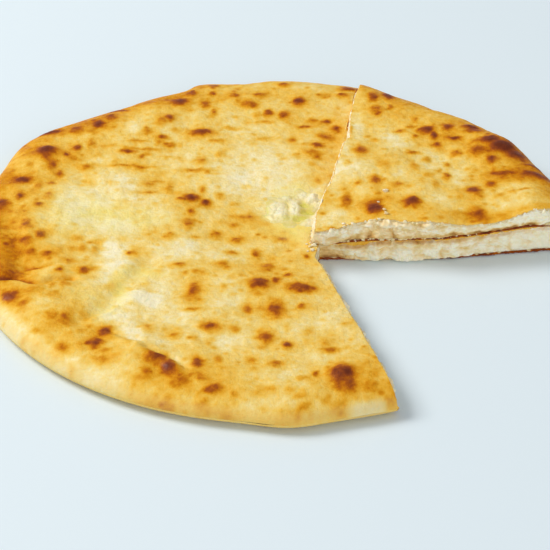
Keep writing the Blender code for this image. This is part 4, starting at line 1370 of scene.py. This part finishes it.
def clump(parts, centre, radius, seed):
    """One irregular bit of curd."""
    way = ball(BALL_ROWS, BALL_STEPS)
    across, up = way[..., 0] * 2.0 + 9.0 * seed, way[..., 1] * 2.0 + way[..., 2] * 2.3
    uneven = 1.0 + 0.42 * ripple(across, up, 1.3, 601) + 0.22 * ripple(across, up, 0.6, 603)
    body = way * (radius * uneven)[..., None] * np.array((1.25, 1.0, 0.75)) + np.array(centre)
    tone = 0.10 + 0.25 * chance(seed, 3, 611)
    gather(parts, body.reshape(-1, 3), quads(BALL_ROWS, BALL_STEPS), moist=tone)


PIECES = {"main": main_piece, "lower": lower_piece, "upper": upper_piece}
crumb_parts = []
for home, fallen in FALLEN.items():
    for cx, cy, radius in fallen:
        ground = float(PIECES[home]["skin"](np.array([cx]), np.array([cy]))[0])
        clump(crumb_parts, (cx, cy, ground + 0.45 * radius), radius, len(crumb_parts))
dice = np.random.default_rng(77)
for home, side, start, end, count, small, large, level, out in CLINGING:
    piece = PIECES[home]
    along = dice.uniform(start, end, count)
    heights = np.clip(level + dice.uniform(-0.05, 0.05, count), 0.0, 1.0)
    x, y = along_cut(piece, side, along, heights)
    z = piece["base"](x, y) + heights * (piece["skin"](x, y) - piece["base"](x, y))
    radii = small + (large - small) * dice.uniform(0, 1, count) ** 2.0
    x, y = pushed(piece, side, x, y, out)
    for n, centre in enumerate(zip(x, y, z)):
        clump(crumb_parts, centre, radii[n], 100 + n)
crumbs = as_object("curd_crumbs", crumb_parts, ("moist", "butter"))

# %% [markdown]
# ## Colours
# Baked dough goes from cream through straw and gold to orange brown, and a
# scorched blister ends in a dark purple brown. A colour ramp holds that
# scale. It sits in a node group, so that every piece of crust uses the same
# one, and fine noise moves the scale so that no area is flat. `Wiring` adds
# nodes to a tree and joins them in the same line.


# %% Node helpers
def tint(red, green, blue):
    """A screen colour, 0 to 255, as the linear colour that shaders use."""
    def one(value):
        value /= 255.0
        return value / 12.92 if value <= 0.04045 else ((value + 0.055) / 1.055) ** 2.4
    return (one(red), one(green), one(blue), 1.0)


class Wiring:
    """Short ways to add nodes to a tree; most give back an output socket."""

    def __init__(self, tree):
        self.tree = tree

    def put(self, value, socket):
        """Give a socket a plain value, or join another node's output to it."""
        if isinstance(value, bpy.types.NodeSocket):
            self.tree.links.new(value, socket)
        else:
            socket.default_value = value

    def node(self, kind, inputs=(), **settings):
        """A node with its settings; inputs are given by socket name or number."""
        made = self.tree.nodes.new("ShaderNode" + kind)
        for key, value in settings.items():
            setattr(made, key, value)
        for key, value in dict(inputs).items():
            self.put(value, made.inputs[key])
        return made

    def maths(self, operation, *values, clamp=False):
        """One sum on values or sockets."""
        return self.node("Math", enumerate(values), operation=operation, use_clamp=clamp).outputs[0]

    def add(self, first, second, clamp=False):
        """First plus second."""
        return self.maths("ADD", first, second, clamp=clamp)

    def less(self, first, second, clamp=False):
        """First minus second."""
        return self.maths("SUBTRACT", first, second, clamp=clamp)

    def times(self, first, second, clamp=False):
        """First times second."""
        return self.maths("MULTIPLY", first, second, clamp=clamp)

    def centred(self, value, strength):
        """Noise from 0 to 1 turned into a change about zero."""
        return self.times(self.less(value, 0.5), strength)

    def blended(self, factor, first, second):
        """A mix of two colours."""
        return self.node("Mix", {"Factor": factor, 6: first, 7: second}, data_type="RGBA").outputs[2]

    def noise(self, at, scale, detail, roughness):
        """Noise from 0 to 1; scale is waves per metre."""
        inputs = {"Vector": at, "Scale": scale, "Detail": detail, "Roughness": roughness}
        return self.node("TexNoise", inputs).outputs["Fac"]

    def ramp(self, factor, stops):
        """A colour ramp through (position, colour) stops."""
        made = self.node("ValToRGB", {"Fac": factor})
        band = made.color_ramp
        while len(band.elements) < len(stops):
            band.elements.new(1.0)
        for element, (position, colour) in zip(band.elements, stops):
            element.position = position
            element.color = colour
        return made.outputs["Color"]


def new_group(name, inputs):
    """A shader node group: its tree, its wiring, the sockets it is given and those it fills."""
    group = bpy.data.node_groups.new(name, "ShaderNodeTree")
    for label, kind, value in (*inputs, ("Place", "Vector", None)):
        socket = group.interface.new_socket(label, in_out="INPUT", socket_type="NodeSocket" + kind)
        if value is not None:
            socket.default_value = value
    for label, kind in (("Color", "Color"), ("Roughness", "Float"), ("Gloss", "Float"), ("Height", "Float")):
        group.interface.new_socket(label, in_out="OUTPUT", socket_type="NodeSocket" + kind)
    given, filled = group.nodes.new("NodeGroupInput"), group.nodes.new("NodeGroupOutput")
    return group, Wiring(group), given.outputs, filled.inputs


print("straw, as a shader colour:", [round(part, 3) for part in tint(245, 215, 132)])

# %% [markdown]
# ### Crust colour
# `Bake` carries the broad browning and `Scorch` the blisters. Fine noise is
# added to both before the ramps, so the edge of a blister breaks up as it
# does on real dough, and a few small freckles are strewn between. `Butter`
# lays a soft yellow over the pale areas, and `Crumb` turns the cut dough to
# its pale inside.

# %% Crust colour group
DARKEST = 1.3
BAKED = (
    (0.00, (252, 240, 200)), (0.12, (248, 228, 166)), (0.24, (245, 215, 132)), (0.36, (243, 202, 100)),
    (0.46, (240, 190, 78)), (0.56, (235, 175, 54)), (0.66, (225, 157, 34)), (0.76, (211, 135, 18)),
    (0.86, (192, 110, 12)), (0.96, (168, 87, 18)), (1.06, (148, 71, 24)), (1.18, (130, 60, 28)),
    (DARKEST, (112, 50, 28)),
)

crust_group, crust, given, filled = new_group(
    "crust_colour",
    (("Bake", "Float", 0.4), ("Scorch", "Float", 0.0), ("Butter", "Float", 0.0), ("Crumb", "Float", 0.0)),
)
broad = crust.noise(given["Place"], 110.0, 3.0, 0.6)
fine = crust.noise(given["Place"], 380.0, 4.0, 0.62)
grain = crust.noise(given["Place"], 1400.0, 3.0, 0.6)

cells = crust.node("TexVoronoi", {"Vector": given["Place"], "Scale": 170.0, "Randomness": 1.0})
away = crust.add(cells.outputs["Distance"], crust.centred(fine, 0.5))
edge = {"Value": away, "From Min": 0.42, "From Max": 0.05}
near = crust.node("MapRange", edge, interpolation_type="SMOOTHSTEP")
chosen = crust.node("SeparateColor", {0: cells.outputs["Color"]})
some = crust.less(chosen.outputs[0], 0.45, True)
freckle = crust.times(crust.times(near.outputs["Result"], some), 0.5)

baked = crust.add(given["Bake"], crust.centred(broad, 0.26))
baked = crust.add(baked, crust.centred(fine, 0.42))
baked = crust.maths("MAXIMUM", crust.add(baked, freckle), 0.0)
ragged = crust.add(crust.centred(fine, 0.35), 1.0)
baked = crust.add(baked, crust.times(given["Scorch"], ragged))
baked = crust.maths("DIVIDE", baked, DARKEST, clamp=True)
colour = crust.ramp(baked, [(stop / DARKEST, tint(*screen)) for stop, screen in BAKED])
soaked = crust.times(given["Butter"], crust.add(broad, 0.1), True)
colour = crust.blended(soaked, colour, tint(246, 228, 124))
inside = crust.ramp(fine, ((0.3, tint(210, 184, 128)), (0.7, tint(242, 226, 182))))
crust.put(crust.blended(given["Crumb"], colour, inside), filled["Color"])

rough = crust.maths("MULTIPLY_ADD", fine, 0.3, 0.34)
crust.put(crust.less(rough, crust.times(given["Butter"], 0.2), True), filled["Roughness"])
gloss = crust.times(crust.less(broad, 0.48, True), 1.2)
gloss = crust.add(gloss, crust.times(given["Scorch"], 0.35))
crust.put(crust.add(gloss, crust.times(given["Butter"], 0.25), True), filled["Gloss"])
crust.put(crust.add(crust.times(fine, 0.7), crust.times(grain, 0.3)), filled["Height"])
print("crust colour has", len(crust_group.nodes), "nodes")

# %% [markdown]
# ### Curd colour
# Curd is off-white with a touch of green and yellow where butter has gathered
# between the grains. The moist value says how buttery each place is; it also
# carries painted shade, darker between the lumps and under overhanging crust,
# down to the tan brown end of the ramp.

# %% Curd colour group
curd_group, curd, given, filled = new_group(
    "curd_colour", (("Moist", "Float", 0.4), ("Butter", "Float", 0.0)),
)
soft = curd.noise(given["Place"], 260.0, 3.0, 0.6)
grain = curd.noise(given["Place"], 900.0, 3.0, 0.6)
moist = curd.add(given["Moist"], curd.centred(soft, 0.5), True)
colour = curd.ramp(moist, (
    (0.0, tint(252, 244, 218)), (0.25, tint(244, 222, 174)), (0.5, tint(232, 198, 134)),
    (0.75, tint(210, 164, 96)), (1.0, tint(172, 118, 60)),
))
pool = curd.add(given["Butter"], curd.centred(soft, 0.8), True)
curd.put(curd.blended(curd.times(pool, 0.85), colour, tint(220, 208, 72)), filled["Color"])
curd.put(curd.less(0.55, curd.times(pool, 0.3), True), filled["Roughness"])
curd.put(curd.times(pool, 0.4), filled["Gloss"])
curd.put(curd.add(curd.times(soft, 0.5), curd.times(grain, 0.5)), filled["Height"])
print("curd colour has", len(curd_group.nodes), "nodes")

# %% [markdown]
# ### Materials
# A Principled BSDF takes its colour, roughness and bump from a group. Light
# enters dough and curd a little way, so both have some subsurface scatter,
# with plain numbers on the shader. A thin coat gives the shine of butter.


# %% Materials
def food_material(name, group, carried, bump, **numbers):
    """A material that feeds a colour group with the numbers stored on the mesh."""
    made = bpy.data.materials.new(name)
    made.use_nodes = True
    food = Wiring(made.node_tree)
    shader = made.node_tree.nodes["Principled BSDF"].inputs
    look = food.node("Group", node_tree=group)
    for key in carried:
        food.put(food.node("Attribute", attribute_name=key).outputs["Fac"], look.inputs[key.capitalize()])
    food.put(food.node("TexCoord").outputs["Object"], look.inputs["Place"])
    relief = food.node("Bump", {"Strength": 1.0, "Distance": bump, "Height": look.outputs["Height"]})
    shared = {"Subsurface Radius": (1.0, 0.6, 0.3), "Coat Roughness": 0.28, "Coat IOR": 1.4}
    for label, value in (shared | numbers).items():
        shader[label.replace("_", " ")].default_value = value
    food.put(look.outputs["Color"], shader["Base Color"])
    food.put(look.outputs["Roughness"], shader["Roughness"])
    food.put(look.outputs["Gloss"], shader["Coat Weight"])
    food.put(relief.outputs["Normal"], shader["Normal"])
    return made


crust_look = food_material(
    "baked_crust", crust_group, ("bake", "scorch", "butter", "crumb"), 0.0010, Subsurface_Weight=0.10,
    Subsurface_Scale=0.0010, Specular_IOR_Level=0.03, Specular_Tint=tint(255, 214, 150),
)
curd_look = food_material(
    "curd_cheese", curd_group, ("moist", "butter"), 0.0006, Subsurface_Weight=0.15,
    Subsurface_Scale=0.0012, Specular_IOR_Level=0.25, Specular_Tint=tint(255, 250, 235),
)
for made in (main_dough, lower_dough, upper_dough):
    made.data.materials.append(crust_look)
for made in (main_curd, lower_curd, upper_curd, crumbs):
    made.data.materials.append(curd_look)
print("materials:", crust_look.name, "and", curd_look.name)

# %% [markdown]
# ## Table and light
# The pie lies on a plain pale table, so wide that its edge is never seen. It
# belongs to the stage, not to the pie.

# %% Table
FLOOR_HALF = 4.0
floor_corners = [(x * FLOOR_HALF, y * FLOOR_HALF, 0) for x, y in ((-1, -1), (1, -1), (1, 1), (-1, 1))]
floor_mesh = bpy.data.meshes.new("table")
floor_mesh.from_pydata(floor_corners, [], [(0, 1, 2, 3)])
table = bpy.data.objects.new("table", floor_mesh)
bpy.context.scene.collection.objects.link(table)
table_look = bpy.data.materials.new("pale_table")
table_look.use_nodes = True
table_shader = table_look.node_tree.nodes["Principled BSDF"]
table_shader.inputs["Base Color"].default_value = tint(226, 238, 244)
table_shader.inputs["Roughness"].default_value = 0.7
floor_mesh.materials.append(table_look)
print("the table is", 2.0 * FLOOR_HALF, "m wide")

# %% [markdown]
# A large soft light stands high behind the pie, a little to the left, so the
# shade falls to the front and right. A weaker one from the front and the
# bright surroundings fill the cut faces. Area lights give soft shadows.

# %% Light
world = bpy.data.worlds.new("room")
world.use_nodes = True
world.node_tree.nodes["Background"].inputs["Color"].default_value = (0.94, 0.97, 1.0, 1.0)
world.node_tree.nodes["Background"].inputs["Strength"].default_value = 0.42
bpy.context.scene.world = world


def soft_light(name, place_at, aim, size, power, colour):
    """A square area light aimed at a point."""
    data = bpy.data.lights.new(name, "AREA")
    data.shape = "SQUARE"
    data.size = size
    data.energy = power
    data.color = colour
    made = bpy.data.objects.new(name, data)
    bpy.context.scene.collection.objects.link(made)
    made.location = place_at
    made.rotation_mode = "QUATERNION"
    made.rotation_quaternion = (Vector(aim) - Vector(place_at)).to_track_quat("-Z", "Y")
    return made


key = soft_light("key", (-1.96, 0.71, 1.88), (0.0, 0.0, 0.0), 1.3, 62.0, (1.0, 0.985, 0.96))
soft_light("fill", (0.7, -2.5, 0.98), (0.0, -0.1, 0.0), 1.6, 22.0, (1.0, 0.99, 0.97))
bpy.context.scene.view_settings.view_transform = "Standard"
print("the key light stands", round(key.location.length, 2), "m away")

# %% [markdown]
# ## Join the looks to the frame
# Each piece rides on the body of the CAD model and stands for its nodes.

# %% Finish
for made, replaced in (
    (main_dough, "main_dough"), (main_curd, "main_filling"),
    (lower_dough, "lower_slice_dough"), (lower_curd, "lower_slice_filling"),
    (upper_dough, "upper_slice_dough"), (upper_curd, "upper_slice_filling"),
):
    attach(made, "root")
    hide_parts(replaced)
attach(crumbs, "root")
